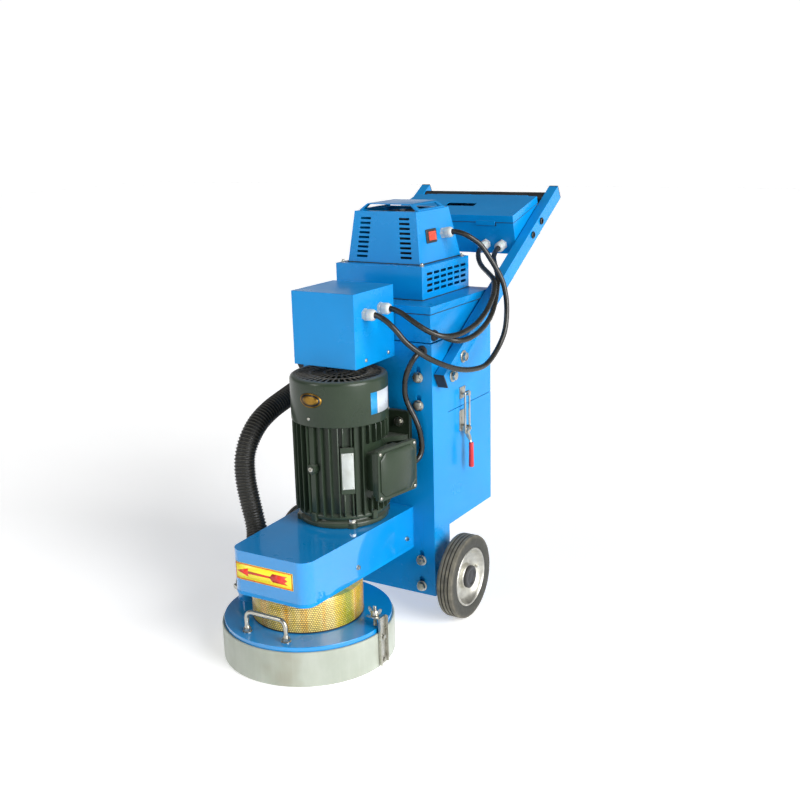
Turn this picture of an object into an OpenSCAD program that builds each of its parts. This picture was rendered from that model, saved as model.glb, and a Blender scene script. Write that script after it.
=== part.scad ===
// Walk-behind concrete floor grinder: a belt-driven grinding head with an upright foot-mounted
// motor, hung on the front of a two-wheeled chassis that carries a dust collector and a handle.
// Millimetres, +Z up. The grinding head is at -Y, the handle at +Y, and the wheels turn about X.
// Inside the modules Y is counted from the front face of the head bracket, and placed() moves the
// whole machine so that the origin is on the floor under the middle of its bounding box.

/* [Wheels] */
// Diameter of the solid tyres
wheel_d = 200; // [180:5:220]
// Width of a tyre
tyre_w = 45; // [38:1:46]
// Axle diameter
axle_d = 20; // [16:1:22]

/* [Head bracket and chassis] */
// Outer width of the folded head bracket
bracket_w = 356; // [350:1:357]
// Depth of the bracket's side flanges
flange_d = 74; // [66:1:74]
// Height of the bracket's lower edge above the floor
bracket_z0 = 50; // [44:1:56]
// Height of the bracket's upper edge above the floor
bracket_z1 = 662; // [655:1:663]
// Thickness of the bracket and chassis plates
plate_t = 6; // [4:0.5:6]
// How far the head can be let down in the bracket's slots
head_travel = 18; // [10:1:18]
// Diameter of the mounting bolts
bolt_d = 12; // [10:1:12]

/* [Dust collector] */
// Outer width of the filter tank and the dust bin
tank_w = 349; // [340:1:350]
// Y of the tank's rear wall
tank_y1 = 303; // [290:1:305]
// Height of the joint between the tank and the dust bin
seam_z = 485; // [480:1:488]
// Height of the dust bin's underside
bin_z0 = 206; // [202:1:240]
// Height of the tank lid's top
lid_z1 = 746; // [744:1:748]
// Sheet thickness of the tank, bin and boxes
sheet_t = 2; // [1.5:0.5:2.5]

/* [Motor] */
// Height of the motor shaft above its feet
shaft_height = 112; // [112:1:116]
// Radius of the fan cowl
cowl_r = 111; // [106:0.5:111]
// Height of the cowl's top
cowl_z1 = 606; // [600:1:607]
// Height of the motor's mounting flange
motor_z0 = 268; // [266:1:270]

/* [Grinding head] */
// Distance from the motor shaft to the spindle
centre_distance = 157; // [154:1:160]
// Radius of the dust skirt
skirt_r = 194; // [192:1:196]
// Height of the skirt
skirt_h = 80; // [74:1:82]
// Radius of the spindle housing
drum_r = 125; // [118:1:126]
// Radius of the grinding disc
disc_r = 172; // [165:1:175]
// Number of grinding segments
segments = 9; // [6:1:12]
// Pitch radius of the drive pulley
drive_r = 54; // [50:1:56]
// Pitch radius of the driven pulley
driven_r = 81; // [76:1:84]

/* [Handle] */
// Length of a handle arm
arm_len = 734; // [700:1:760]
// Slope of the arms above level
arm_angle = 30.6; // [28:0.1:32]
// Height of the arm tube
arm_h = 37; // [34:1:38]
// Width of the arm tube
arm_w = 25; // [22:1:25]
// Radius of the grip
grip_r = 16.5; // [14:0.5:18]

/* [Hidden] */
$fn = 64;

// Colours
blue = [0.10, 0.50, 0.85];
motor_green = [0.22, 0.26, 0.21];
steel = [0.70, 0.71, 0.72];
black = [0.08, 0.08, 0.09];
white = [0.90, 0.91, 0.92];
red = [0.80, 0.08, 0.10];
gold = [0.80, 0.66, 0.25];

// General gaps: between parts that move past each other, and a running fit on a radius
gap = 0.5;
run = 0.05;

// Bracket, chassis and axle
bracket_x = bracket_w / 2;
chassis_x = bracket_x - plate_t - gap;
chassis_y0 = plate_t + gap;
chassis_y1 = flange_d + gap;
chassis_z0 = 56;
chassis_z1 = 625;
bolt_x = 142;
bolt_zs = [71, 137, 517, 583];
bolt_r = bolt_d / 2;
washer_r = 13;
axle_r = axle_d / 2;
axle_y = 41;
axle_z = wheel_d / 2;
wheel_x0 = 209;
wheel_x1 = wheel_x0 + tyre_w;
rim_r = 70;
lead_hole = [154, 0, 645];
lead_r = 6.25;

// Dust collector
tank_x = tank_w / 2;
tank_y0 = chassis_y1;
tank_z1 = lid_z1 - sheet_t;
bay_y0 = 3;
bay_z0 = 664;
filter_at = [0, 190];
plate_z = 712;
elbow_y = 108;
elbow_z = 513;
elbow_r = 24;
elbow_bend = 41;
grommet_at = [tank_x, 16, 680];
bin_gap = 1;

// Vacuum unit
vac_x = 118;
vac_y0 = 68;
vac_y1 = 298;
vac_z1 = 823;
cowl_low = [99, 93, 293];
cowl_high = [84, 105, 261];
cowl_zs = [vac_z1, 943];
cowl_lean = atan((cowl_low[0] - cowl_high[0]) / (cowl_zs[1] - cowl_zs[0]));
cap_x = 56.5;
cap_y0 = 122;
cap_y1 = 247;
cap_z1 = 959.5;
switch_at = [0, 159, 884];
rocker_tilt = 8;
vac_gland_at = [0, 216, 885];

// Power box in front of the tank, above the motor
power_x = 82;
power_y0 = -165;
power_z0 = 628;
power_z1 = 793;

// Motor
motor_y = -shaft_height;
frame_z0 = motor_z0 + 22;
frame_z1 = 505;
core_r = 98;
stator_r = 84;
rotor_r = 59;
shaft_r = 14;
foot_x = 123;
foot_t = 12;
foot_zs = [337, 477];
foot_bolt_r = 6;
box_turn = 9.6;
box_centre = [112, -101, 393];
box_size = [33, 132, 118];

// Belt drive and spindle
spindle_y = motor_y - centre_distance;
housing_z0 = 173.5;
housing_y0 = -408;
housing_front_x = 103;
housing_rear_x = 121;
housing_corner = 30;
belt_zs = [204, 226];
cover_z = 90;
strap_z1 = 115;
cover_r = skirt_r - 5.3;
spindle_r = 20;
bearing_r = 40;
bearing_zs = [[98, 116], [146, 164]];
port_at = [-160, -282];
port_r = 24;

// Handle and control box
arm_x0 = 180;
arm_at = [0, 7.4, 592.3];
arm_bolts = [[47.2, 583.2], [99.3, 618]];
box_bolts = [[482.3, 856], [533.6, 886]];
grip_s = arm_len - 30;
plug_t = 3;
grip_tube_r = 12;
arm_wall = 2.5;
box_x = 177.5;
box_at = [0, 421.2, 909];
box_pitch = 14.3;
box_l = 149.6;
box_h = 102;
lid_rim = 18;
pin_r = 3;
knuckle_r = 5;
hinge_s = box_l + 6;
hinge_t = -6;
box_gland_xs = [95, 141];
gland_drop = 77;
mains_gland = [-120, 75];
slot_low = [-48, 65];
slot_high = [36, 89];

// Latches on the sides of the tank and the bin
latch_y = 150;
latch_x = tank_x + 14;
latch_pivot_z = 430;
latch_throw = 10;
keeper_z = 521;
rod_r = 2.5;
loop_half = 11;

// Soft goods: centre lines of the hose and the cables
hose_r = 25.5;
hose_path = [
    [-215.5, 67, 513], [-215.5, 32, 513], [-218, -38, 498], [-222.5, -84, 484], [-226.5, -126, 463],
    [-228, -161, 431], [-228, -182, 391], [-224, -189, 342], [-214, -191, 292], [-202, -194, 251],
    [-187, -205, 218], [-172, -232, 188], [-163, -261, 164], [-160, -282, 140], [-160, -282, 118]
];
vac_path = [
    [109, 216, 887], [123, 216, 889], [145, 221, 884], [166, 233, 870], [185, 246, 848],
    [219, 266, 782], [232, 268, 740], [239, 260, 695], [242, 240, 650], [240, 200, 613],
    [239, 150, 592], [237, 95, 592], [231, 35, 603], [220, -22, 624], [202, -72, 652],
    [177, -104, 684], [156, -117, 714], [134, -123, 735], [112, -123, 744], [100, -123, 744]
];
control_path = [
    [95, 423, 830], [95, 408, 826], [100, 386, 818], [115, 359, 804], [140, 330, 791],
    [196, 274, 773], [217, 238, 754], [230, 195, 734], [237, 150, 714], [239, 105, 698],
    [237, 60, 689], [231, 15, 685], [217, -24, 689], [193, -45, 703], [166, -56, 722],
    [138, -60, 740], [114, -60, 748], [100, -60, 748]
];
lead_upper_path = [
    [141, 423, 830], [141, 408, 826], [145, 388, 819], [156, 360, 807], [197, 297, 776],
    [213, 261, 750], [226, 221, 721], [235, 178, 697], [238, 130, 679], [236, 84, 669],
    [228, 44, 667], [213, 21, 673], [195, 16, 680], [177, 16, 680]
];
lead_lower_path = [
    [154, 5, 645], [153, -10, 644], [149, -26, 635], [141, -35, 617], [131, -35, 594],
    [124, -30, 569], [122, -25, 543], [129, -21, 517], [141, -19, 494], [150, -16, 469],
    [153, -11, 442], [153, -9, 419], [151, -15, 402], [147.5, -29, 393], [144.5, -46.7, 393]
];

// The origin is under the middle of the whole machine's length
length_y0 = spindle_y - skirt_r;
length_y1 = arm_at[1] + (arm_len + plug_t) * cos(arm_angle) + arm_h * sin(arm_angle);
shift_y = -(length_y0 + length_y1) / 2;

// ---------- helpers ----------

module placed() {
    translate([0, shift_y, 0]) children();
}

// A box between two opposite corners
module block(low, high) {
    translate(low) cube(high - low);
}

// The same piece on both sides of the machine
module both_sides() {
    children();
    mirror([1, 0, 0]) children();
}

// A cylinder along X, from x0 to x1
module rod_x(r, x0, x1, y, z) {
    translate([x0, y, z]) rotate([0, 90, 0]) cylinder(r = r, h = x1 - x0);
}

// A cylinder along Y, from y0 to y1
module rod_y(r, y0, y1, x, z) {
    translate([x, y1, z]) rotate([90, 0, 0]) cylinder(r = r, h = y1 - y0);
}

// A cylinder along Z, from z0 to z1
module rod_z(r, z0, z1, x, y) {
    translate([x, y, z0]) cylinder(r = r, h = z1 - z0);
}

// A tube along Z
module ring_z(r_out, r_in, z0, z1, x = 0, y = 0) {
    difference() {
        rod_z(r_out, z0, z1, x, y);
        rod_z(r_in, z0 - 1, z1 + 1, x, y);
    }
}

// A tube along X
module ring_x(r_out, r_in, x0, x1, y, z) {
    difference() {
        rod_x(r_out, x0, x1, y, z);
        rod_x(r_in, x0 - 1, x1 + 1, y, z);
    }
}

// A slot through a plate in the XZ plane, upwards from z
module slot_y(r, y0, y1, x, z, rise) {
    rod_y(r, y0, y1, x, z);
    rod_y(r, y0, y1, x, z + rise);
    block([x - r, y0, z], [x + r, y1, z + rise]);
}

// A slot through a plate in the YZ plane, upwards from z
module slot_x(r, x0, x1, y, z, rise) {
    rod_x(r, x0, x1, y, z);
    rod_x(r, x0, x1, y, z + rise);
    block([x0, y - r, z], [x1, y + r, z + rise]);
}

// A frame that follows the arm: X across, Y up the arm, Z square to its top face
module on_arm(s = 0) {
    translate(arm_at) rotate([arm_angle, 0, 0]) translate([0, s, 0]) children();
}

// A frame on the control box: origin at its front top edge, Y along the lid
module on_box() {
    translate(box_at) rotate([box_pitch, 0, 0]) children();
}

// A frame on the sloping right face of the vacuum cowl, with Z out of the face and Y along +Y
module on_cowl_side(at) {
    x = cowl_low[0] - (at[2] - cowl_zs[0]) * tan(cowl_lean);
    translate([x, at[1], at[2]]) rotate([0, 90 - cowl_lean, 0]) children();
}

// A cable gland: hexagon, domed nut and a bore for the cable, standing on Z = 0
module gland(bore = lead_r + 0.1) {
    difference() {
        union() {
            cylinder(r = 13, h = 7, $fn = 6);
            translate([0, 0, 7]) cylinder(r = 11, h = 3);
            translate([0, 0, 10]) cylinder(r = 12.5, h = 13, $fn = 6);
            translate([0, 0, 23]) cylinder(r1 = 11, r2 = 8.5, h = 5);
        }
        translate([0, 0, -1]) cylinder(r = bore, h = 40);
    }
}

// Vector helpers and the frames along a path
function unit(v) = v / norm(v);
function tangents(p) = [
    for (i = [0 : len(p) - 1]) unit(p[min(i + 1, len(p) - 1)] - p[max(i - 1, 0)])
];
function sides(t, i, u) = i == len(t) ? [] :
    let (w = unit(u - (u * t[i]) * t[i]))
    concat([w], sides(t, i + 1, w));

// A round tube swept along a path of points
module sweep(path, r, n) {
    t = tangents(path);
    u = sides(t, 0, abs(t[0][2]) < 0.9 ? [0, 0, 1] : [1, 0, 0]);
    last = len(path) - 1;
    points = [
        for (i = [0 : last], k = [0 : n - 1])
            path[i] + r * (cos(360 * k / n) * u[i] + sin(360 * k / n) * cross(t[i], u[i]))
    ];
    walls = [
        for (i = [0 : last - 1], k = [0 : n - 1])
            let (a = i * n + k, b = i * n + (k + 1) % n)
            [a, a + n, b + n, b]
    ];
    ends = [[for (k = [0 : n - 1]) k], [for (k = [n - 1 : -1 : 0]) last * n + k]];
    polyhedron(points, concat(walls, ends));
}

// ---------- chassis, dust collector and handle ----------

module chassis() placed() color(blue) difference() {
    union() {
        block([-chassis_x, chassis_y0, chassis_z0], [chassis_x, chassis_y0 + plate_t, chassis_z1]);
        block([-chassis_x, chassis_y0, chassis_z1 - plate_t], [chassis_x, chassis_y1, chassis_z1]);
        both_sides()
            block([chassis_x - plate_t, chassis_y0, chassis_z0], [chassis_x, chassis_y1, chassis_z1]);
    }
    both_sides() {
        for (z = bolt_zs) rod_y(bolt_r, 0, chassis_y0 + plate_t + 1, bolt_x, z);
        rod_x(bolt_r, chassis_x - plate_t - 1, chassis_x + 1, arm_bolts[0][0], arm_bolts[0][1]);
    }
    rod_x(axle_r, -bracket_x, bracket_x, axle_y, axle_z);
}

module filter_tank() placed() color(blue) difference() {
    union() {
        block([-tank_x, tank_y0, seam_z + bin_gap], [tank_x, tank_y1, tank_z1]);
        block([-tank_x, bay_y0, bay_z0], [tank_x, tank_y0 + 1, tank_z1]);
    }
    block(
        [-tank_x + sheet_t, tank_y0 + sheet_t, seam_z],
        [tank_x - sheet_t, tank_y1 - sheet_t, plate_z]
    );
    block(
        [-tank_x + sheet_t, tank_y0 + sheet_t, plate_z + 3],
        [tank_x - sheet_t, tank_y1 - sheet_t, lid_z1]
    );
    block([-tank_x + sheet_t, bay_y0 + sheet_t, bay_z0 + sheet_t], [tank_x - sheet_t, tank_y0, lid_z1]);
    rod_z(82, plate_z - 1, plate_z + 4, filter_at[0], filter_at[1]);
    rod_x(9, tank_x - 5, tank_x + 1, grommet_at[1], grommet_at[2]);
    rod_x(elbow_r - 2, -tank_x - 1, -tank_x + 5, elbow_y, elbow_z);
    both_sides() rod_x(bolt_r, tank_x - 5, tank_x + 1, arm_bolts[1][0], arm_bolts[1][1]);
}

module filter_cartridge() placed() color(white) translate([filter_at[0], filter_at[1], 0]) {
    difference() {
        union() {
            rod_z(95, plate_z + 3, plate_z + 9, 0, 0);
            for (a = [0 : 15 : 345]) rotate(a) block([60, -2.5, 540], [80, 2.5, plate_z + 3]);
            rod_z(74, 540, plate_z + 3, 0, 0);
            rod_z(81, 530, 540, 0, 0);
        }
        rod_z(45, 536, plate_z + 20, 0, 0);
    }
}

module tank_lid() placed() color(blue) difference() {
    block([-tank_x - 2.5, bay_y0 - 2.5, lid_z1 - 17], [tank_x + 2.5, tank_y1 + 2.5, lid_z1]);
    block([-tank_x - 0.5, bay_y0 - 0.5, lid_z1 - 18], [tank_x + 0.5, tank_y1 + 0.5, tank_z1]);
    rod_z(45, lid_z1 - 5, lid_z1 + 1, filter_at[0], filter_at[1]);
}

module vac_base_box() placed() color(blue) difference() {
    block([-vac_x, vac_y0, lid_z1], [vac_x, vac_y1, vac_z1]);
    block([-vac_x + 2, vac_y0 + 2, lid_z1 - 1], [vac_x - 2, vac_y1 - 2, vac_z1 - 2]);
    block([-84, 108, vac_z1 - 5], [84, 276, vac_z1 + 1]);
    both_sides()
        for (row = [0 : 3], column = [0 : 5])
            block(
                [vac_x - 4, 91 + column * 33, 762 + row * 13],
                [vac_x + 1, 117 + column * 33, 768 + row * 13]
            );
}

// A four-sided pyramid stump from [half width, front, rear] at two heights
module stump(low, high, z0, z1) {
    polyhedron(
        [
            [-low[0], low[1], z0], [low[0], low[1], z0], [low[0], low[2], z0], [-low[0], low[2], z0],
            [-high[0], high[1], z1], [high[0], high[1], z1], [high[0], high[2], z1], [-high[0], high[2], z1]
        ],
        [[0, 1, 2, 3], [4, 5, 1, 0], [5, 6, 2, 1], [6, 7, 3, 2], [7, 4, 0, 3], [7, 6, 5, 4]]
    );
}

module vac_cowl() placed() color(blue) difference() {
    stump(cowl_low, cowl_high, cowl_zs[0], cowl_zs[1]);
    stump(cowl_low - [2, -2, 2], cowl_high - [2, -2, 2], cowl_zs[0] - 0.01, cowl_zs[1] - 2);
    block([-70, 119, cowl_zs[1] - 5], [70, 249, cowl_zs[1] + 1]);
    both_sides()
        for (row = [0 : 8])
            block(
                [52 - 14 - row * -0.9, 80, 836 + (8 - row) * 11],
                [52 + 14 + row * 1.2, 118, 841 + (8 - row) * 11]
            );
    on_cowl_side(switch_at) block([-12, -16, -4], [12, 16, 2]);
    on_cowl_side(vac_gland_at) translate([0, 0, -4]) cylinder(r = 8, h = 8);
}

module rain_cap() placed() color(blue) difference() {
    translate([0, cap_y1, 0]) rotate([90, 0, 0]) linear_extrude(cap_y1 - cap_y0) polygon([
        [-80, cowl_zs[1]], [-71, cowl_zs[1]], [-71, cowl_zs[1] + 2], [-cap_x, cap_z1 - 2],
        [cap_x, cap_z1 - 2], [71, cowl_zs[1] + 2], [71, cowl_zs[1]], [80, cowl_zs[1]],
        [80, cowl_zs[1] + 2], [cap_x + 2, cap_z1], [-cap_x - 2, cap_z1], [-80, cowl_zs[1] + 2]
    ]);
    both_sides() block([54, cap_y0 + 14, cowl_zs[1] + 4], [90, cap_y1 - 14, cap_z1 - 4]);
}

module vac_motor() placed() color(black) translate([filter_at[0], filter_at[1] - 5, 0]) {
    difference() {
        union() {
            rod_z(72, lid_z1, 806, 0, 0);
            rod_z(50, 806, 920, 0, 0);
            rod_z(58, 920, 938, 0, 0);
        }
        rod_z(14, lid_z1 - 1, 760, 0, 0);
    }
}

module axle() placed() color(steel) {
    rod_x(axle_r, -wheel_x1 + 9, wheel_x1 - 9, axle_y, axle_z);
    both_sides() ring_x(15, axle_r, bracket_x + 1, wheel_x0 - gap, axle_y, axle_z);
}

module handle_frame() placed() color(blue) difference() {
    union() {
        both_sides() difference() {
            on_arm() block([arm_x0, 0, -arm_h], [arm_x0 + arm_w, arm_len, 0]);
            on_arm() block(
                [arm_x0 + arm_wall, -1, -arm_h + arm_wall],
                [arm_x0 + arm_w - arm_wall, arm_len + 1, -arm_wall]
            );
        }
        both_sides() on_arm() {
            block([box_x, 525, -arm_h + 2], [arm_x0, 625, -6]);
            block([box_x, 525, -arm_h - 6], [arm_x0, 579, -6]);
        }
        on_arm(grip_s) rod_x(grip_tube_r, -arm_x0, arm_x0, 0, -arm_h / 2);
    }
    both_sides() for (b = concat(arm_bolts, box_bolts))
        rod_x(bolt_r, box_x - 1, arm_x0 + arm_w + 1, b[0], b[1]);
}

module grip_sleeve() placed() color(black)
    on_arm(grip_s) ring_x(grip_r, grip_tube_r, -arm_x0 + gap, arm_x0 - gap, 0, -arm_h / 2);

module arm_end_plugs() placed() color(black) both_sides() for (s = [-plug_t, arm_len]) on_arm(s) {
    inner_y = s < 0 ? plug_t : -12;
    block([arm_x0, 0, -arm_h], [arm_x0 + arm_w, plug_t, 0]);
    block(
        [arm_x0 + arm_wall, inner_y, -arm_h + arm_wall],
        [arm_x0 + arm_w - arm_wall, inner_y + 12, -arm_wall]
    );
}

// Hexagon bolt along +Y from its head, with a washer under the head and a nut behind
module mount_bolt(x, z) {
    translate([x, 0, z]) {
        difference() {
            rod_y(washer_r, -gap - 3, -gap, 0, 0);
            rod_y(bolt_r, -5, 1, 0, 0);
        }
        rod_y(bolt_r, -gap - 3.1, chassis_y0 + plate_t + 14, 0, 0);
        translate([0, -gap - 3, 0]) rotate([90, 30, 0]) cylinder(r = 10.5, h = 7.5, $fn = 6);
        translate([0, chassis_y0 + plate_t + 10, 0]) rotate([90, 0, 0]) difference() {
            cylinder(r = 10.5, h = 10, $fn = 6);
            translate([0, 0, -1]) cylinder(r = bolt_r, h = 12);
        }
    }
}

// Hexagon bolt along X through the handle arm, with a wide washer and a spacer
module arm_bolt(at, x_in) {
    outer = arm_x0 + arm_w;
    difference() {
        rod_x(14, outer, outer + 2.5, at[0], at[1]);
        rod_x(bolt_r, outer - 1, outer + 4, at[0], at[1]);
    }
    rod_x(bolt_r, x_in - 16, outer + 3, at[0], at[1]);
    translate([outer + 2.5, at[0], at[1]]) rotate([0, 90, 0]) cylinder(r = 10.5, h = 7.5, $fn = 6);
    ring_x(8, bolt_r, x_in, arm_x0, at[0], at[1]);
}

module frame_bolts() placed() color(steel) {
    for (side = [-1, 1], z = bolt_zs) mount_bolt(side * bolt_x, z);
    both_sides() {
        arm_bolt(arm_bolts[0], chassis_x);
        arm_bolt(arm_bolts[1], tank_x);
        for (b = box_bolts) {
            rod_x(bolt_r, box_x - 8, arm_x0 + arm_w + 1, b[0], b[1]);
            rod_x(8.5, arm_x0 + arm_w, arm_x0 + arm_w + 4, b[0], b[1]);
        }
    }
}

module control_box() placed() color(blue) difference() {
    union() {
        on_box() difference() {
            block([-box_x, 0, -box_h], [box_x, box_l, -3]);
            block([-box_x + 2, 2, -box_h + 2], [box_x - 2, box_l - 2, 0]);
            for (x = box_gland_xs)
                translate([x, 3, -gland_drop]) rotate([90, 0, 0]) cylinder(r = 8, h = 6);
            rod_z(8, -box_h - 1, -box_h + 3, mains_gland[0], mains_gland[1]);
        }
        on_box() for (x = [-150, -15, 120]) {
            ring_x(knuckle_r, pin_r, x, x + 30, hinge_s, hinge_t);
            block([x, box_l - 1, hinge_t - knuckle_r], [x + 30, hinge_s, hinge_t - 3.2]);
        }
    }
    both_sides() for (b = box_bolts) rod_x(bolt_r, box_x - 5, box_x + 1, b[0], b[1]);
}

module box_lid() placed() color(blue) on_box() {
    difference() {
        block([-box_x - 1.5, -2.5, -lid_rim], [box_x + 1.5, box_l - 0.2, 0]);
        block([-box_x - 0.3, -0.5, -lid_rim - 1], [box_x + 0.3, box_l, -2]);
        block([slot_low[0], slot_low[1], -4], [slot_high[0], slot_high[1], 1]);
    }
    block([75, -5, -lid_rim - 8], [128, -2.5, -lid_rim + 4]);
    for (x = [-119.5, 15.5]) {
        ring_x(knuckle_r, pin_r + run, x, x + 104, hinge_s, hinge_t);
        block([x, box_l - 1, -2], [x + 104, hinge_s, 0]);
    }
}

module inverter() placed() color(black) on_box() union() {
    block([-105, 20, -box_h + 2], [60, box_l - 14, -24]);
    block([slot_low[0] - 1, slot_low[1] - 4, -25], [slot_high[0] + 1, slot_high[1] + 4, -14]);
}

module power_box() placed() color(blue) {
    difference() {
        block([-power_x, power_y0, power_z0], [power_x, -gap, power_z1]);
        block([-power_x + 2, power_y0 + 2, power_z0 + 2], [power_x - 2, -gap - 2, power_z1 - 2]);
        for (g = [[-123, 744], [-60, 748]]) rod_x(8, power_x - 4, power_x + 1, g[0], g[1]);
    }
    block([-60, -gap, 670], [60, bay_y0, 728]);
}

module cable_glands() placed() color(white) {
    for (g = [[-123, 744], [-60, 748]])
        translate([power_x, g[0], g[1]]) rotate([0, 90, 0]) gland();
    on_cowl_side(vac_gland_at) gland();
    on_box() for (x = box_gland_xs) translate([x, 0, -gland_drop]) rotate([90, 0, 0]) gland();
    on_box() translate([mains_gland[0], mains_gland[1], -box_h]) rotate([180, 0, 0]) gland(7);
    translate(grommet_at) rotate([0, 90, 0]) difference() {
        cylinder(r = 12, h = 10);
        translate([0, 0, -1]) cylinder(r = lead_r + 0.1, h = 12);
    }
}

module cable_vac() placed() color(black) sweep(vac_path, lead_r, 8);

module cable_control() placed() color(black) sweep(control_path, lead_r, 8);

module motor_lead_upper() placed() color(black) sweep(lead_upper_path, lead_r, 8);

// Hooks on the tank's sides that hold the latch loops from above
module latch_keepers() placed() color(steel) both_sides() {
    ledge = keeper_z - rod_r - 2.5;
    block([tank_x, latch_y - 14, ledge - 12], [tank_x + 2, latch_y + 14, ledge + 16]);
    block([tank_x + 1, latch_y - 6, ledge - 3], [latch_x + 7, latch_y + 6, ledge]);
    block([latch_x + 5, latch_y - 6, ledge - 3], [latch_x + 7, latch_y + 6, ledge + 5.5]);
}

module frame_screws() placed() color(steel) {
    both_sides() {
        for (y = [-123, -29]) rod_x(4.5, power_x, power_x + 2.5, y, 642);
        for (y = [85, 280]) translate([cowl_low[0] + 9, y, vac_z1]) cylinder(r1 = 5, r2 = 3, h = 5);
    }
    on_box() {
        rod_x(pin_r, -150, 150, hinge_s, hinge_t);
    }
}

module suction_elbow() placed() color(blue) {
    difference() {
        union() {
            translate([-tank_x, elbow_y - elbow_bend, elbow_z]) rotate([0, 0, 90])
                rotate_extrude(angle = 90) translate([elbow_bend, 0]) circle(r = elbow_r);
            block([-tank_x - 2, elbow_y - 26, elbow_z - 26], [-tank_x, elbow_y + 26, elbow_z + 26]);
        }
        translate([-tank_x, elbow_y - elbow_bend, elbow_z]) rotate([0, 0, 90])
            rotate_extrude(angle = 90) translate([elbow_bend, 0]) circle(r = elbow_r - 2);
        rod_x(elbow_r - 2, -tank_x - 3, -tank_x + 1, elbow_y, elbow_z);
    }
}

// ---------- grinding head ----------

module head_bracket() placed() color(blue) difference() {
    union() {
        block([-bracket_x, 0, bracket_z0], [bracket_x, plate_t, bracket_z1]);
        both_sides()
            block([bracket_x - plate_t, 0, bracket_z0], [bracket_x, flange_d, bracket_z1]);
        linear_plate(housing_z0 - 8, housing_z0, 0);
    }
    both_sides() {
        for (z = bolt_zs) slot_y(bolt_r + gap, -1, plate_t + 1, bolt_x, z, head_travel);
        slot_x(axle_r + 1, bracket_x - plate_t - 1, bracket_x + 1, axle_y, axle_z, head_travel);
        slot_x(
            8 + gap, bracket_x - plate_t - 1, bracket_x + 1,
            arm_bolts[0][0], arm_bolts[0][1], head_travel
        );
    }
    rod_y(lead_r + 3, -1, plate_t + 1, lead_hole[0], lead_hole[2]);
    for (x = [-95, 95], z = foot_zs) rod_y(foot_bolt_r, -1, plate_t + 1, x, z);
    rod_z(bearing_r + 12, housing_z0 - 9, housing_z0 + 1, 0, spindle_y);
}

// The outline of the belt housing, drawn in by an inset
module housing_outline(inset) {
    front = housing_y0 + inset;
    r = housing_corner - inset;
    side = housing_front_x - inset;
    rear = housing_rear_x - inset;
    polygon(concat(
        [[rear, inset > 0 ? -inset : 0], [-rear, inset > 0 ? -inset : 0]],
        [for (a = [180 : 9 : 270]) [-side + r + r * cos(a), front + r + r * sin(a)]],
        [for (a = [270 : 9 : 360]) [side - r + r * cos(a), front + r + r * sin(a)]]
    ));
}

module linear_plate(z0, z1, inset) {
    translate([0, 0, z0]) linear_extrude(z1 - z0) housing_outline(inset);
}

module belt_housing() placed() color(blue) difference() {
    linear_plate(housing_z0, motor_z0, 0);
    linear_plate(housing_z0 - 1, motor_z0 - 6, 3);
    rod_z(32, motor_z0 - 10, motor_z0 + 1, 0, motor_y);
}

module spindle_housing() placed() color(gold) translate([0, spindle_y, 0]) difference() {
    union() {
        ring_z(drum_r, drum_r - 6, cover_z, housing_z0 - 8);
        rod_z(drum_r - 3, housing_z0 - 20, housing_z0 - 8, 0, 0);
        rod_z(drum_r - 3, cover_z, cover_z + 8, 0, 0);
        rod_z(bearing_r + 10, cover_z, housing_z0 + 4, 0, 0);
    }
    rod_z(bearing_r, bearing_zs[0][0], housing_z0 + 5, 0, 0);
    rod_z(bearing_r - 8, cover_z - 1, housing_z0, 0, 0);
}

module bearings() placed() color(steel) translate([0, spindle_y, 0]) for (z = bearing_zs) {
    difference() {
        rod_z(bearing_r, z[0], z[1], 0, 0);
        rod_z(spindle_r + run, z[0] - 1, z[1] + 1, 0, 0);
        ring_z(33, 27, z[0] - 1, z[0] + 3);
        ring_z(33, 27, z[1] - 3, z[1] + 1);
    }
}

module head_cover() placed() color(blue) difference() {
    union() {
        rod_z(cover_r, cover_z - 5, cover_z, 0, spindle_y);
        ring_z(cover_r, cover_r - 4, 40, cover_z - 4, 0, spindle_y);
        rod_z(port_r, cover_z, 118, port_at[0], port_at[1]);
    }
    rod_z(spindle_r + 14, cover_z - 6, cover_z + 1, 0, spindle_y);
    rod_z(port_r - 2, cover_z - 6, 119, port_at[0], port_at[1]);
}

module dust_skirt() placed() color([0.86, 0.87, 0.86, 0.9])
    ring_z(skirt_r, cover_r + 0.1, 1, skirt_h, 0, spindle_y);

module skirt_clamp() placed() color(steel) translate([0, spindle_y, 0]) {
    x = skirt_r + 0.3;
    difference() {
        union() {
            block([x, -15, 5], [x + 8, 15, strap_z1]);
            block([162, -13, strap_z1 - 3], [x + 3, 13, strap_z1]);
        }
        block([x + 3, -13, 4], [x + 9, 13, strap_z1 - 3]);
        rod_z(4, strap_z1 - 4, strap_z1 + 1, 178, 0);
    }
    for (z = [14, 68]) rod_x(5, x + 2, x + 7, 0, z);
}

module wing_screw() placed() color(steel) translate([178, spindle_y, 0]) {
    rod_z(3.9, cover_z + gap, strap_z1 + 22, 0, 0);
    rod_z(8, strap_z1 + gap, strap_z1 + 12, 0, 0);
    for (a = [0, 180]) rotate(a) translate([6, -1.5, strap_z1 + 4]) cube([10, 3, 14]);
}

module lift_handle() placed() color(steel) translate([0, -424, 0]) {
    r = 5;
    bend = 14;
    half = 52;
    top = 138;
    both_sides() {
        rod_z(r, cover_z, top - bend, half, 0);
        rod_z(9.5, cover_z, cover_z + 9, half, 0);
        translate([half - bend, 0, top - bend]) rotate([90, 0, 0])
            rotate_extrude(angle = 90) translate([bend, 0]) circle(r = r);
    }
    rod_x(r, -half + bend, half - bend, 0, top);
}

// ---------- motor ----------

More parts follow.
